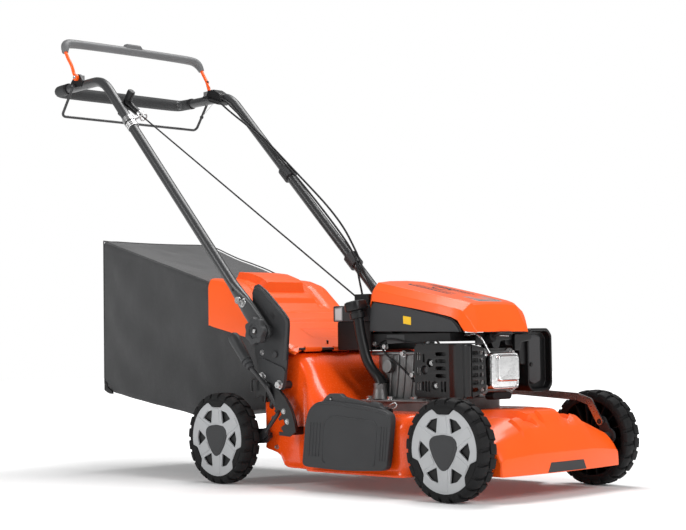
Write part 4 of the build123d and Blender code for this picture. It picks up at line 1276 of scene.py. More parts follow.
def make_side_cover():
    """The moulded cover over the side outlet, with a sunk panel, ribs and a hinge block on top."""
    outline = [
        (286, 58, 8), (288, 150, 10), (292, 176, 16), (310, 193, 12), (350, 199, 10), (463, 189, 20),
        (520, 181, 10),
        (543, 172, 12), (547, 155, 6), (542, 62, 10), (528, 56, 10), (420, 50, 60), (300, 54, 10),
    ]
    edge = rounded(outline, 10, 6)
    xs, zs = [p[0] for p in edge], [p[1] for p in edge]
    middle = (sum(xs) / len(xs), sum(zs) / len(zs))
    rings = []
    for share, drop in (
        (1.0, 15.0), (1.0, 4.0), (0.997, 1.4), (0.988, 0.2), (0.965, 0.0), (0.5, 0.0), (0.2, 0.0),
    ):
        ring = []
        for x, z in edge:
            qx, qz = middle[0] + (x - middle[0]) * share, middle[1] + (z - middle[1]) * share
            ring.append(P(qx, cover_y(qz) + drop - 1.5, qz))
        rings.append(ring)
    cover = loft("side_cover_shell", rings, "side_cover", "grey_plastic", 0, 24)
    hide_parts("side_cover")
    ribs = []
    for x in (306, 316, 326, 336, 520, 528, 536):
        low, high = (78, 150) if x < 400 else (76, 146)
        path = [(x, cover_y(z) - 1.6, z) for z in (low, (low + high) / 2, high)]
        ribs.append(wire(f"cover_rib_{x}", path, 1.3, "side_cover", "grey_plastic"))
    join("side_cover_ribs", ribs)
    panel = [(348, 66), (346, 140), (356, 160), (372, 166), (498, 158), (508, 148), (506, 64)]
    path = [(x, cover_y(z) - 1.2, z) for x, z in rounded(panel, 8, 3)]
    wire("side_cover_crease", path, 1.3, "side_cover", "grey_plastic", order=2)
    rim_path = [
        (x, cover_y(z) - 0.8, z)
        for x, z in (
            (292, 70), (293, 170), (312, 188), (350, 193), (463, 183), (520, 175), (540, 168),
            (542, 150),
        )
    ]
    wire("side_cover_rim", rim_path, 1.8, "side_cover", "grey_plastic")
    block_top = [
        rounded(
            [
                (318, 188), (330, 198), (342, 208), (350, 213, 4), (384, 213, 4), (394, 206),
                (470, 194), (478, 198, 3), (500, 195, 3), (504, 188), (516, 182), (516, 176),
                (330, 180),
            ],
            4, 4
        ),
        circle(356, 201, 3.2, 14),
    ]
    side_slab("side_cover_hinge_block", block_top, -231, 13, "side_cover", "grey_plastic", 2.4)
    back = rounded([(352, 172), (352, 184), (504, 182), (504, 172)], 3)
    side_slab("side_cover_spring_box", [back], -200, 6, "chassis", "black_plastic", 1.5)
    wire(
        "side_cover_spring", [(512, -216, 190), (526, -214, 198), (532, -214, 186), (520, -216, 182)],
        1.6, "chassis", "zinc_steel"
    )
    turned(
        "side_cover_pin", [(0, 2.4), (3, 2.4), (3.6, 1.8)], (356, -236, 201), (0, -1, 0), "side_cover",
        "zinc_steel", 16
    )


make_side_cover()


# ---- Engine pieces ----

def make_guard():
    """The muffler guard: a slotted side plate, a rounded corner and a slotted front."""
    side_outline = [
        (511, 206, 16), (511, 316, 12), (636, 318, 14), (648, 318, 3), (648, 203, 3), (530, 202, 16),
    ]
    holes = []
    for z in (226, 258, 290):
        holes += [slot_hole(518, 521.5, z - 7, z + 9), slot_hole(524.5, 528, z - 7, z + 9)]
    holes += [circle(540, 262, 9.5, 22), circle(556, 277, 9, 22), circle(569, 229, 9, 22)]
    for z in (246, 262, 277, 292):
        holes.append(slot_hole(572, 602, z, z + 7.5))
    holes += [slot_hole(x, x + 5, 216, 238) for x in (533, 542, 551, 587, 596)]
    holes += [slot_hole(536, 541, 278, 296)]
    outlines = [rounded(side_outline, 6, 6)] + holes
    guard = side_slab("guard_side", outlines, -136.6, 2.6, "chassis", "black_metal", 0.9)
    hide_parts("muffler_guard")
    profile = [
        (-138.0, 611.0), (-138.0, 634.0), (-136.6, 641.0), (-132.6, 647.0), (-127, 650.6),
        (-120, 652.0), (-112, 652.0),
    ]
    rings = []
    for y, x in profile:
        low, high = (202, 318) if x < 640 else (203, 316)
        rings.append([P(x, y, low), P(x, y, low + 5), P(x, y, high - 5), P(x, y, high)])
    corner = loft("guard_corner", rings, "chassis", "black_metal", 0, 60, closed=False)
    skin = corner.modifiers.new("wall", "SOLIDIFY")
    skin.thickness, skin.offset = 2.4 * MM, -1
    front = [(-116, 203, 3), (-116, 316, 3), (-70, 308, 12), (-66, 216, 10)]
    slots = []
    for k in range(6):
        z = 216 + 15.5 * k
        slots += [slot_hole(-112, -93, z, z + 8.5), slot_hole(-88, -73, z, z + 8.5)]
    front_slab("guard_front", [rounded(front, 4, 4)] + slots, 650.8, 2.4, "black_metal", 0.8)
    top = rounded([(513, -137, 4), (650, -137, 8), (650, -68, 8), (513, -68, 4)], 4)
    slab("guard_top", [top], P(0, 0, 316.8), PLAN, 2.4, "chassis", "black_metal", 0.8)
    slab("guard_base", [top], P(0, 0, 203.4), PLAN, 2.4, "chassis", "black_metal", 0.8)
    for x, z in ((556, 277), (569, 229)):
        hex_bolt(f"guard_bolt_{x}", x, -131, z, (0, -1, 0), "chassis", 4.2, 4)
    turned(
        "guard_washer", [(0, 3), (0.1, 8), (1.5, 8), (2.6, 5.5), (2.6, 3)], (540, -130, 262),
        (0, -1, 0), "chassis", "dark_steel", 24
    )


def make_head():
    """The bright valve cover with its raised plate and four bolts, and the pieces round it."""
    flange = [
        (-50, 212, 8), (-50, 232, 6), (-44, 240, 5), (-44, 278, 5), (-50, 286, 6), (-50, 304, 8),
        (-34, 307, 6), (-26, 300, 5), (36, 300, 5), (44, 307, 6), (60, 305, 8), (60, 288, 6),
        (55, 280, 5), (55, 238, 5), (60, 228, 6), (60, 210, 8), (44, 206, 6), (34, 214, 5),
        (-24, 214, 5), (-34, 206, 6),
    ]
    piece = front_slab("valve_flange", [rounded(flange, 5, 5)], 618, 7, "cast_aluminium", 1.4)
    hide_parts("valve_cover")
    dome = rounded([(-40, 218), (-40, 297), (52, 297), (52, 218)], 11, 6)
    steps = ((621, 1.0), (632, 0.985), (638, 0.955), (641, 0.9), (642, 0.84))
    stepped("valve_dome", dome, (6, 257), steps, "chrome", 0, 50)
    plate = rounded([(-20, 234), (-20, 292), (50, 292), (50, 234)], 9, 6)
    steps = ((641, 1.0), (645, 0.985), (647.4, 0.94), (648, 0.86), (647.2, 0.83))
    stepped("valve_plate_blank", plate, (15, 263), steps, "chrome", 0, 50)
    wire(
        "valve_rim",
        [(642, y, z) for y, z in rounded([(-37, 221), (-37, 294), (49, 294), (49, 221)], 9, 3)], 2.2,
        "chassis", "chrome", cyclic=True
    )
    for y, z in ((-41, 223), (-41, 295), (52, 296), (52, 219)):
        hex_bolt(f"valve_bolt_{y}_{z}", 621.5, y, z, (1, 0, 0), "chassis", 5.2, 7)
    breather = rounded([(-22, 196), (-26, 206), (-18, 212), (32, 212), (40, 206), (36, 196)], 5)
    front_slab("head_base", [breather], 622, 24, "rubber_black", 2.5)
    wire(
        "throttle_lever",
        [(600, -60, 334), (612, -58, 340), (628, -54, 330), (640, -48, 304), (644, -46, 296)], 3.0,
        "chassis", "zinc_steel"
    )
    wire(
        "governor_rod", [(560, -60, 333), (590, -62, 336), (628, -20, 334), (634, 30, 332)], 1.6,
        "chassis", "zinc_steel"
    )
    bracket = rounded(
        [(-60, 312), (-60, 338), (70, 340), (70, 324), (20, 322), (14, 306), (-4, 306), (-12, 320)], 4
    )
    front_slab("head_bracket", [bracket], 618, 5, "black_metal", 1.0)
    wire(
        "spark_lead", [(632, -22, 331), (648, -22, 336), (652, 6, 338), (640, 40, 338), (600, 62, 336)],
        3.5, "chassis", "rubber_black"
    )


def make_air_filter():
    """The air filter box: a deep chamfered rim round a stepped, recessed front."""
    rim = [
        (110, 222, 4), (110, 334, 4), (122, 348, 6), (182, 348, 6), (196, 334, 6), (196, 222, 6),
        (184, 208, 6), (122, 208, 6),
    ]
    outer = rounded(rim, 5, 4)
    steps = [
        (484, 0.93), (488, 0.96), (560, 0.98), (606, 0.99), (611, 1.0), (620, 1.0), (622, 0.985),
        (622, 0.93), (620, 0.9), (606, 0.88), (605, 0.8),
    ]
    box = stepped("air_filter_box", outer, (153, 278), steps, "black_plastic", 0.8, 28)
    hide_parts("air_filter")
    inner = rounded([(118, 232), (118, 330), (134, 336), (158, 330), (158, 232), (134, 224)], 5)
    front_slab("air_filter_step", [inner], 612, 14, "grey_plastic", 2.4)
    front_slab("air_filter_nub", [circle(124, 268, 5, 16)], 620, 4, "black_plastic", 1.0)
    duct = rounded([(40, 312), (40, 338), (120, 338), (120, 268), (92, 268), (86, 306)], 8)
    front_slab("air_duct", [duct], 596, 40, "black_plastic", 3.0)
    arm = rounded([(60, 300), (60, 336), (118, 336), (118, 322), (82, 318), (78, 300)], 5)
    front_slab("air_bracket", [arm], 624, 6, "black_metal", 1.0)


def make_tank():
    """The tank behind the hood: grey shoulder with a blank label, black body below."""
    upper = rounded([(227, -105, 8), (346, -105, 3), (346, 94, 3), (227, 94, 8)], 6, 5)
    lower = rounded([(235, -101, 10), (346, -101, 3), (346, 90, 3), (235, 90, 10)], 8, 5)
    shoulder = slab("tank_shoulder", [upper], P(0, 0, 387.5), PLAN, 36, "chassis", "grey_plastic", 2.4)
    slab("tank_body", [lower], P(0, 0, 337), PLAN, 66, "chassis", "black_plastic", 4.0)
    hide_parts("fuel_tank")
    label = rounded([(236, 371), (236, 401), (261, 403), (261, 371)], 2)
    side_slab("tank_label_blank", [label], -105.6, 0.8, "chassis", "silver_mesh", 0.2)
    field = rounded([(238.5, 374), (238.5, 398.5), (258.5, 400), (258.5, 374)], 1)
    side_slab("tank_label_field", [field], -106.0, 0.7, "chassis", "blank_label", 0.2)
    turned(
        "tank_neck", [(0, 20), (5, 20), (6, 18)], (285, 40, 404), (0, 0, 1), "chassis", "black_plastic",
        28
    )


def make_oil_filler():
    """The dipstick tube with its flared foot, and the two-tier cap."""
    path = [
        (334, -128, 378), (337, -126.5, 350), (343, -123.5, 316), (352, -120, 280), (368, -115, 256),
        (382, -112, 242), (388, -111, 228),
    ]
    tube = wire(
        "oil_tube", path, 11.5, "chassis", "black_plastic", thick=[1, 1.02, 1.05, 1.0, 0.95, 1.05, 1.35]
    )
    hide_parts("oil_filler_tube")
    along = Vector((334 - 349, -128 + 121, 374 - 284)).normalized()

    def corners(angle, k):
        return 1.0 + 0.06 * math.cos(4 * angle) if k > 5 else 1.0

    profile = [
        (1, 11), (2, 17), (14, 18), (15, 15), (18, 15), (19, 20), (20, 23), (24, 24), (34, 24),
        (39, 23), (41, 19), (41, 6),
    ]
    cap = turned(
        "oil_cap_body", profile, (334, -128, 374), along, "oil_cap", "black_plastic", 48, lobes=corners,
        smooth=40
    )
    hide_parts("oil_cap")


def make_crankcase_details():
    """Ribs, bosses, bolts and small pipes on the crankcase's visible side."""
    ribs = []
    for k, x in enumerate((404, 424, 444, 468)):
        path = [(x - 8, -96, 200), (x, -97, 250), (x + 4, -97, 300)]
        ribs.append(wire(f"case_rib_{k}", path, 3.2, "chassis", "cast_aluminium"))
    join("case_ribs", ribs)
    wire(
        "case_seam", [(348, -98, 296), (400, -99, 297), (506, -99, 297)], 3.6, "chassis",
        "cast_aluminium", order=2
    )
    for x, y, z in ((362, -99, 318), (392, -100, 312), (446, -100, 296), (474, -100, 250)):
        hex_bolt(f"case_bolt_{x}", x, y, z, (0, -1, 0), "chassis", 5.4, 8)
    turned(
        "case_boss", [(0, 13), (4, 15), (14, 14), (15, 9)], (402, -96, 268), (0, -1, 0.1), "chassis",
        "cast_aluminium", 30
    )
    turned(
        "foot_boss", [(0, 19), (10, 17), (24, 14.5), (26, 12)], (384, -112, 198), (0, 0, 1), "chassis",
        "cast_aluminium", 30
    )
    wire(
        "case_pipe",
        [(372, -104, 322), (392, -108, 300), (420, -108, 282), (452, -106, 262), (480, -104, 236)], 2.2,
        "chassis", "rubber_black"
    )
    wire(
        "case_lead",
        [(366, -106, 308), (386, -110, 330), (430, -108, 328), (470, -106, 318), (512, -100, 322)], 1.8,
        "chassis", "rubber_black"
    )
    for k, (x0, x1, z0, z1) in enumerate(
        ((350, 395, 312, 338), (398, 452, 318, 338), (456, 510, 322, 338))
    ):
        plate = rounded([(x0, z0), (x1, z0 + 2), (x1, z1), (x0, z1)], 3)
        side_slab(
            f"shroud_tab_{k}", [plate], -102.8, 3.2, "chassis",
            "black_plastic" if k != 1 else "dark_steel", 0.8
        )
    base = rounded([(338, -136), (420, -136), (470, -128), (540, -122), (540, -60), (338, -60)], 14)
    slab("engine_step", [base], P(0, 0, 193.8), PLAN, 4.0, "chassis", "cast_aluminium", 1.0)
    for x, y in ((356, -118), (424, -122), (488, -112)):
        hex_bolt(f"base_bolt_{x}", x, y, 196.6, (0, 0, 1), "chassis", 6.4, 7)


make_guard()
make_head()
make_air_filter()
make_tank()
make_oil_filler()
make_crankcase_details()


# ---- Brackets, knobs and the height lever ----

def make_bracket(side):
    """The moulded handle bracket with its raised rim and lower shelf, and both deck bolts."""
    tag = "left" if side > 0 else "right"
    outline = [
        (101, 237), (87, 299), (82, 380), (80, 440, 6), (88, 456, 8), (101, 459, 8), (128, 443, 10),
        (151, 424),
        (187, 393, 12), (201, 378, 10), (203, 365, 8), (195, 283, 4), (192, 258, 4), (186, 222, 6),
        (178, 216, 8), (125, 227, 6),
    ]
    window = [(143, 391, 3), (151, 396, 2), (158, 386, 3), (150, 378, 2)]
    holes = [rounded(outline, 5, 5), rounded(window, 3)]
    slab(f"bracket_plate_{tag}", holes, P(0, side * 215.6, 0), SIDE, 5.2, "chassis", "grey_plastic", 1.4)
    rim_path = [(92, 449), (100, 452), (126, 437), (184, 387), (196, 374), (197.5, 362), (190, 284)]
    wire(
        f"bracket_rim_{tag}", [(x, side * 218.4, z) for x, z in rim_path], 4.0, "chassis",
        "grey_plastic"
    )
    shelf = rounded(
        [(99, 241), (103, 284), (112, 291), (186, 268), (192, 258), (185, 223), (177, 217), (126, 228)],
        4
    )
    slab(
        f"bracket_shelf_{tag}", [shelf], P(0, side * 219.6, 0), SIDE, 5.6, "chassis", "grey_plastic",
        1.8
    )
    for x, z in ((116.0, 246.5), (173.0, 229.0)):
        hex_bolt(f"bracket_bolt_{tag}_{x:.0f}", x, side * 222.2, z, (0, side, 0), "chassis", 8.2, 7)
    turned(
        f"bracket_boss_{tag}", [(0, 8), (4, 8), (5.0, 5.5), (5.0, 2)], (157, side * 218, 298),
        (0, side, 0), "chassis", "grey_plastic", 24
    )
    hex_bolt(f"bracket_screw_{tag}", 112, side * 218, 302, (0, side, 0), "chassis", 5.0, 4)


def tube_y(x):
    """The handle tube's distance from the middle, on its long straight runs."""
    return 236.0 - (140 - x) * 22 / 640


def make_handle_tube():
    """The round tube from one flattened end, over both bends and round the rear bar, to the other."""
    half = [
        (26, tube_y(26), 463.6), (-446, 215.9, 952), (-500, 214, 1008), (-578, 211.8, 1006.6),
        (-640, 210, 1005.4), (-713, 208, 1004), (-713, 120, 1004),
    ]
    path = half + [(x, -y, z) for x, y, z in reversed(half)]
    tube = wire("handle_tube_round", path, 12.5, "handle", "tube_paint")
    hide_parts("handle_tube")


FOLD_X, FOLD_Z = 135.0, 351.0


def make_handle_end(side):
    """The tube's flattened lower end, from the round tube to the fold pivot."""
    tag = "left" if side > 0 else "right"
    axis_low, axis_high = Vector((FOLD_X, FOLD_Z)), Vector((28.0, 461.5))
    along = (axis_high - axis_low).normalized()
    across = Vector((-along.y, along.x))
    rings = []
    for t, wide, thick in (
        (-24, 8, 4), (-22, 14, 5), (-15, 19, 5.4), (-4, 21.5, 5.6), (30, 21.5, 5.8), (70, 20.5, 6.2),
        (92, 19, 8), (112, 16.5, 10), (134, 14.2, 12), (152, 12.6, 12.6), (158, 12.5, 12.5),
    ):
        centre = axis_low + along * t
        ring = []
        for k in range(28):
            angle = 2 * math.pi * k / 28
            c, s = math.cos(angle), math.sin(angle)
            shape = curve_at([(70, 0.5), (150, 1.0)], t)
            u = wide * math.copysign(abs(c) ** shape, c)
            v = thick * math.copysign(abs(s) ** shape, s)
            ring.append(
                P(centre.x + across.x * u, side * (tube_y(centre.x) + v), centre.y + across.y * u)
            )
        rings.append(ring)
    loft(f"handle_end_{tag}", rings, "handle", "tube_paint", 0, 40)
    bolt_at = axis_low + along * 92
    hex_bolt(f"handle_bolt_{tag}", bolt_at.x, side * 241.4, bolt_at.y, (0, side, 0), "handle", 8.4, 6)
    dot = axis_low + along * 134
    turned(
        f"handle_pin_{tag}", [(0, 3.4), (0.8, 3.4), (1.2, 1.5)], (dot.x, side * 244.4, dot.y),
        (0, side, 0), "handle", "rubber_black", 14
    )


def make_knob(side):
    """The lobed clamp knob with a recess and the pivot bolt's end in it."""
    tag = "left" if side > 0 else "right"
    body, out = f"{tag}_knob", (0, side, 0)

    def lobed(angle, k):
        return 1.0 + 0.085 * math.cos(7 * angle) if 1 < k < 8 else 1.0

    profile = [
        (0, 18), (0.5, 25), (2.5, 28), (5, 30.5), (14, 30.5), (17, 29), (18.2, 26), (18.2, 17),
        (15.5, 15.5), (15.5, 3),
    ]
    knob = turned(
        f"knob_{tag}", profile, (FOLD_X, side * 246.6, FOLD_Z), out, body, "grey_plastic", 84,
        lobes=lobed, smooth=40
    )
    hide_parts(f"{tag}_knob")
    turned(
        f"knob_washer_{tag}", [(0, 9), (1.4, 9), (2, 7)], (FOLD_X, side * 261.8, FOLD_Z), out, body,
        "black_metal", 28
    )
    turned(
        f"knob_stud_{tag}", [(0, 4.2), (1.4, 4.2), (2, 3)], (FOLD_X, side * 262.6, FOLD_Z), out, body,
        "zinc_steel", 18
    )


def make_lever_grip():
    """The height lever's ribbed grip."""
    low, high = Vector((98.0, -245.0, 273.4)), Vector((46.0, -245.0, 336.0))
    along = (high - low).normalized()
    profile = [
        (-8, 6), (-7, 9), (-1, 9.5), (0, 8), (3, 8), (4, 11), (10, 11.5), (11, 9.5), (14, 9.5),
        (15, 12), (19, 12.4), (24, 12), (44, 13), (66, 14.2), (80, 14.2), (88, 12), (93, 7), (94.5, 2),
    ]
    grip = turned("lever_handle", profile, tuple(low), along, "rear_axle", "grey_plastic", 36, smooth=40)
    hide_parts("lever_grip")


def make_quadrant():
    """The curved slotted plate with notches, its lip and its lower hook."""
    cx, cz = 105.0, 112.0

    def arc(radius, start, end, steps):
        return [
            (
                cx + radius * math.cos(math.radians(start + (end - start) * k / steps)),
                cz + radius * math.sin(math.radians(start + (end - start) * k / steps)),
            )
            for k in range(steps + 1)
        ]

    outer = arc(126, 6, 96, 30) + arc(88, 96, 92, 2)
    notches = []
    for k in range(5):
        start = 86 - 15.0 * k
        notches += arc(94, start, start - 8, 4) + arc(80, start - 9.5, start - 13.5, 3)
    lower = arc(84, 10, 8, 2) + [(cx + 70, cz + 12), (cx + 70, cz + 4), (cx + 104, cz + 2)]
    quadrant = side_slab(
        "quadrant_plate", [outer + notches + lower], -224.6, 4.0, "chassis", "black_metal", 0.7
    )
    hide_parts("height_quadrant")
    lip = [(x, -220.0, z) for x, z in arc(122.5, 8, 94, 14)]
    wire("quadrant_lip", lip, 4.0, "chassis", "black_metal")
    for angle in (34, 20):
        x, z = arc(104, angle, angle, 1)[0]
        hex_bolt(f"quadrant_bolt_{angle}", x, -225.5, z, (0, -1, 0), "chassis", 4.8, 4)
    foot = rounded([(184, 116), (184, 132), (222, 136), (222, 118)], 3)
    side_slab("quadrant_foot", [foot], -206, 32, "chassis", "black_metal", 1.0)


def make_links():
    """Small brackets, springs and bolts behind the rear wheel."""
    spring = [
        (96, -236, 214), (92, -237, 236), (104, -238, 244), (138, -236, 244), (144, -234, 234),
        (140, -232, 214), (132, -229, 190),
    ]
    wire("lever_spring", spring, 2.4, "rear_axle", "black_metal")
    plate = rounded([(92, 188), (94, 226), (104, 236), (120, 226), (118, 188)], 5)
    side_slab("rear_bracket_right", [plate], -200, 5, "chassis", "black_metal", 1.2)
    for x, z in ((112, 178), (118, 152), (128, 86)):
        hex_bolt(
            f"rear_bolt_{x}_{z}", x, -190, z, (0, -1, 0), "chassis", 4.2, 5,
            "dark_steel" if z == 178 else "zinc_steel"
        )


make_handle_tube()
for hand in (-1, 1):
    make_bracket(hand)
    make_handle_end(hand)
    make_knob(hand)
make_lever_grip()
make_quadrant()
make_links()


# ---- Handle top ----

def make_upper_bail():
    """A grey moulded bar with bent-down ends on two orange legs."""
    x, z = -657.0, 1126.0
    path = [
        (-643, 232, 1098), (-648, 230, 1111), (-655, 221, 1123), (x, 206, z + 1), (x, 150, z + 2),
        (x, 0, z + 3), (x, -150, z + 2), (x, -206, z + 1), (-655, -221, 1123), (-648, -230, 1111),
        (-643, -232, 1098),
    ]
    bar = wire(
        "bail_bar", path, 11.5, "upper_bail", "bail_plastic",
        thick=[0.7, 0.95, 1.08, 1.05, 1, 1, 1, 1.05, 1.08, 0.95, 0.7]
    )
    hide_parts("upper_bail")
    hump = [(-34, 1130), (-24, 1148, 3), (22, 1148, 3), (36, 1130)]
    slab("bail_hump", [rounded(hump, 3, 4)], P(x, 0, 0), FRONT, 19, "upper_bail", "bail_plastic", 4.0)
    for side, tag in ((1, "left"), (-1, "right")):
        leg = [
            (-644, side * 231, 1102), (-632, side * 232, 1082), (-618, side * 231, 1064),
            (-611, side * 230, 1048), (-607, side * 230, 1036), (-598, side * 230, 1026),
        ]
        wire(f"bail_leg_{tag}", leg, 4.4, "upper_bail", "orange_plastic")
        turned(
            f"bail_eye_{tag}", [(-4, 3), (-4, 8.5), (4, 8.5), (4, 3)], (-598, side * 230, 1026),
            (0, 1, 0), "upper_bail", "orange_plastic", 26, 0.8
        )


def make_grip_foam():
    """The soft sleeve on the rear bar, carried round both corners, with black end rings."""
    half = [
        (-664, 209.6, 1004.9), (-690, 209.0, 1004.6), (-708, 206, 1004.2), (-713, 196, 1004),
        (-713, 150, 1004), (-713, 60, 1004),
    ]
    path = half + [(x, -y, z) for x, y, z in reversed(half)]
    swell = [0.9, 0.9, 0.92, 0.97, 1, 1, 1, 1, 0.97, 0.92, 0.9, 0.9]
    foam = wire("grip_foam", path, 16.3, "handle", "foam", thick=swell)
    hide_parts("foam_grip")
    for side, tag in ((1, "left"), (-1, "right")):
        ring = [(-5, 12.6), (-5, 15.2), (5, 15.2), (5, 12.6)]
        turned(
            f"foam_ring_{tag}", ring, (-662, side * 209.6, 1004.9), (1, 0, 0), "handle", "rubber_black",
            30, 0.8
        )


def make_pivot_blocks():
    """Black bail mounts on both tubes and the double cable anchor on the left one."""
    for side, tag in ((1, "left"), (-1, "right")):
        body = rounded(
            [(-628, 1000), (-628, 1016), (-606, 1036, 5), (-588, 1034, 5), (-574, 1014), (-580, 1000)],
            4
        )
        slab(f"bail_mount_{tag}", [body], P(0, side * 222, 0), SIDE, 9, "handle", "black_plastic", 1.6)
        hex_bolt(f"bail_pin_{tag}", -598, side * 234.5, 1026, (0, side, 0), "handle", 3.6, 3)
    anchor = rounded(
        [
            (-574, 1012), (-566, 1030, 4), (-540, 1030, 4), (-512, 1014, 5), (-506, 992, 5),
            (-520, 984), (-560, 996),
        ],
        4
    )
    slab("cable_anchor", [anchor], P(0, 206, 0), SIDE, 34, "handle", "black_plastic", 3.0)
    boots = (((-574, 228, 1018), (-548, 228, 1016)), ((-580, 186, 1009), (-556, 186, 1006)))
    for k, (a, b) in enumerate(boots):
        wire(
            f"cable_boot_{k}", [a, ((a[0] + b[0]) / 2, a[1], (a[2] + b[2]) / 2), b], 4.6, "handle",
            "rubber_black"
        )


def make_inner_wires():
    """The thin bare wires from the cable ends to the two bails."""
    runs = (
        ("brake_wire", "upper_bail", (-574, 228, 1018), (-617, 231, 1063)),
        ("drive_wire", "lower_bail", (-574, 226, 1006), (-640, 228.5, 966)),
    )
    for name, body, start, end in runs:
        piece = wire(name, [start, end], 0.9, None, "zinc_steel", order=2)
        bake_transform(piece)
        turned(
            name + "_clasp", [(-3, 2), (-3, 4.5), (3, 4.5), (3, 2)], end, (0, 1, 0), body,
            "black_metal", 16
        )


ROPE_OUTLET = Vector((285.0, -80.0, 423.0))
ROPE_EYE = Vector((-372.0, -182.0, 900.0))
ROPE_ALONG = (ROPE_EYE - ROPE_OUTLET).normalized()


def make_t_grip():
    """The starter's T-grip: a bar that widens to flat ends, on a short neck."""
    eye, along = ROPE_EYE, ROPE_ALONG
    across = Vector((-along.z, 0, along.x)).normalized()
    centre = eye + along * 72
    rings = []
    side = along.cross(across)
    for t, wide, thick in (
        (-37, 7, 6), (-36, 9, 7.5), (-30, 10.5, 8.2), (-14, 10, 8.6), (0, 9.5, 9), (14, 10, 8.8),
        (26, 11.5, 9.2), (35, 13, 9.4), (37, 12, 8.6),
    ):
        ring = []
        for k in range(28):
            angle = 2 * math.pi * k / 28
            c, s = math.cos(angle), math.sin(angle)
            u, v = wide * math.copysign(abs(c) ** 0.7, c), thick * math.copysign(abs(s) ** 0.7, s)
            q = centre + across * t + along * u + side * v
            ring.append(P(*q))
        rings.append(ring)
    grip = loft("t_grip", rings, "starter_grip", "black_plastic", 0, 40)
    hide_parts("starter_grip")
    turned(
        "t_grip_neck", [(15, 5), (16, 8.6), (22, 9.4), (46, 9.4), (60, 11), (70, 11)], tuple(eye),
        along, "starter_grip", "black_plastic", 30
    )
    turned(
        "t_grip_ferrule", [(10, 4), (10, 10.8), (15, 11.4), (19, 10.8), (19, 6)], tuple(eye), along,
        "starter_grip", "chrome", 30
    )
    tube = Vector((-380.0, -218.1, 883.9))
    direction = Vector((640.0, 22.0, -662.0)).normalized()
    for k in range(3):
        turned(
            f"guide_coil_{k}", [(-2.2, 13), (-2.2, 15.4), (2.2, 15.4), (2.2, 13)],
            tuple(tube + direction * (6 + 6.0 * k)), direction, "handle", "chrome", 30, 0.8
        )


def make_ropes():
    """Cables and starter rope between the frame and the folding handle, built in one fixed shape."""
    brake = [
        (-548, 193, 1012), (-505, 194, 1002), (-462, 196, 965), (-359, 205.6, 884), (-260, 225.2, 787.6),
        (-90, 231, 644), (-24, 233.3, 543.5), (14, 216, 498), (62, 210, 424), (130, 206, 366),
        (196, 200, 338), (262, 180, 330), (318, 150, 326), (352, 122, 312),
    ]
    drive = [
        (-575, 186, 1008), (-520, 186, 998), (-474, 188, 962), (-371, 195.6, 893), (-260.3, 217.1, 787.4),
        (-107, 220.6, 637.6), (-24.3, 225.2, 543.3), (-2, 209, 497), (20, 207, 424), (30, 207, 352),
        (44, 205, 302), (68, 199, 274), (96, 192.6, 262),
    ]
    for name, node, route, fixed, folding in (
        ("brake_cable_sheath", "brake_cable", brake, (196, 200, 338), (-24, 233.3, 543.5)),
        ("drive_cable_sheath", "drive_cable", drive, (44, 205, 302), (-24.3, 225.2, 543.3)),
    ):
        piece = wire(name, route, 2.6, None, "rubber_black")
        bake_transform(piece)
        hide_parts(node)
    outlet, eye, along = ROPE_OUTLET, ROPE_EYE, ROPE_ALONG
    rope = wire("starter_cord", [tuple(outlet), tuple(eye)], 2.0, None, "rubber_black", order=2)
    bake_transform(rope)
    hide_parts("starter_rope")
    tail = [tuple(eye), tuple(eye + along * 16)]
    end = wire("starter_cord_end", tail, 2.0, None, "rubber_black", order=2)
    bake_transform(end)


def make_belt():
    """The drive belt between the engine's pulley and the gearbox, a fixed copy of its part where it stands.
    """
    belt = keep(NODES["drive_belt"].copy())
    belt.data = NODES["drive_belt"].data.copy()
    belt.name = "belt_between_pulleys"
    for key in list(belt.keys()):
        del belt[key]
    placed = NODES["drive_belt"].matrix_world.copy()
    belt.parent = None
    belt.matrix_world = placed
    paint(belt, "rubber_black")
    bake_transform(belt)
    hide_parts("drive_belt")


make_belt()
make_upper_bail()
make_grip_foam()
make_pivot_blocks()
make_inner_wires()
make_t_grip()
make_ropes()


# ---- Stage ----

def area_light(name, at, towards, size, energy):
    """A soft light at one place, aimed at another."""
    data = bpy.data.lights.new(name, "AREA")
    data.shape = "RECTANGLE"
    data.size, data.size_y = size
    data.energy = energy
    lamp = keep(bpy.data.objects.new(name, data))
    direction = Vector(towards) - Vector(at)
    lamp.matrix_world = Matrix.Translation(at) @ direction.to_track_quat("-Z", "Y").to_matrix().to_4x4()


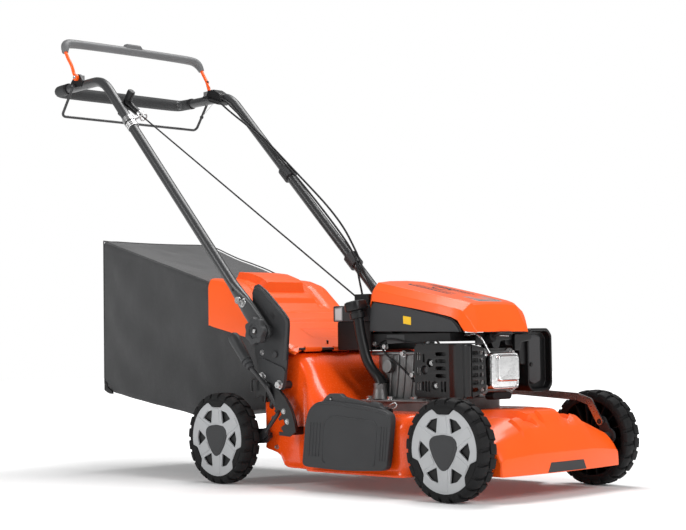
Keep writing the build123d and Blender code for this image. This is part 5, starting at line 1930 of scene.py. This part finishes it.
def make_stage():
    """The white floor, which glows with distance, the white surroundings and the lights."""
    floor_nodes = Nodes("floor_white")
    mottle = floor_nodes.noise(0.6, 2.0)
    floor_nodes.link(
        floor_nodes.ramp(mottle, [(0.2, (0.93, 0.93, 0.93)), (0.8, (0.96, 0.96, 0.96))]),
        floor_nodes.shader.inputs["Base Color"]
    )
    floor_nodes.shader.inputs["Roughness"].default_value = 0.75
    floor_nodes.shader.inputs["Specular IOR Level"].default_value = 0.2
    far = floor_nodes.add("ShaderNodeVectorMath", operation="LENGTH")
    glow = floor_nodes.add("ShaderNodeMapRange", interpolation_type="SMOOTHSTEP")
    for key, value in (("From Min", 0.75), ("From Max", 1.5), ("To Min", 0.05), ("To Max", 1.0)):
        glow.inputs[key].default_value = value
    floor_nodes.link(floor_nodes.coords, far.inputs[0])
    floor_nodes.link(far.outputs["Value"], glow.inputs["Value"])
    floor_nodes.link(glow.outputs["Result"], floor_nodes.shader.inputs["Emission Strength"])
    floor_nodes.shader.inputs["Emission Color"].default_value = (1, 1, 1, 1)
    mesh = bpy.data.meshes.new("floor")
    mesh.from_pydata([(-9, -9, 0), (9, -9, 0), (9, 9, 0), (-9, 9, 0)], [], [(0, 1, 2, 3)])
    floor = keep(bpy.data.objects.new("floor", mesh))
    mesh.materials.append(floor_nodes.material)
    world = bpy.data.worlds.new("studio")
    bpy.context.scene.world = world
    world.use_nodes = True
    tree = world.node_tree
    ambient, plain = tree.nodes["Background"], tree.nodes.new("ShaderNodeBackground")
    ambient.inputs["Color"].default_value = (1, 1, 1, 1)
    ambient.inputs["Strength"].default_value = 0.3
    plain.inputs["Strength"].default_value = 1.0
    plain.inputs["Color"].default_value = (1, 1, 1, 1)
    rays, mixed = tree.nodes.new("ShaderNodeLightPath"), tree.nodes.new("ShaderNodeMixShader")
    tree.links.new(rays.outputs["Is Camera Ray"], mixed.inputs[0])
    tree.links.new(ambient.outputs[0], mixed.inputs[1])
    tree.links.new(plain.outputs[0], mixed.inputs[2])
    tree.links.new(mixed.outputs[0], tree.nodes["World Output"].inputs["Surface"])
    area_light("top", (-0.2, 0.9, 3.2), (0.1, 0, 0.3), (1.8, 1.8), 84)
    area_light("key", (3.4, -0.6, 1.9), (0.2, 0, 0.3), (0.9, 1.4), 54)
    area_light("left", (-1.0, -3.4, 2.0), (0, 0, 0.4), (1.0, 1.4), 44)
    bpy.context.scene.view_settings.view_transform = "Standard"


make_stage()


# ---- CAD nodes that stay ----

def finish_cad_nodes():
    """Give every CAD node that still shows its slot's material and softened edges."""
    for row in frame["record"]["subparts"]:
        node = NODES[row["node"]]
        if not node.hide_render:
            paint(node, row["material_slot"])
            weld = node.modifiers.new("weld", "WELD")
            weld.merge_threshold = 0.02 * MM
            soften(node, 0.9, 2, 35)


finish_cad_nodes()
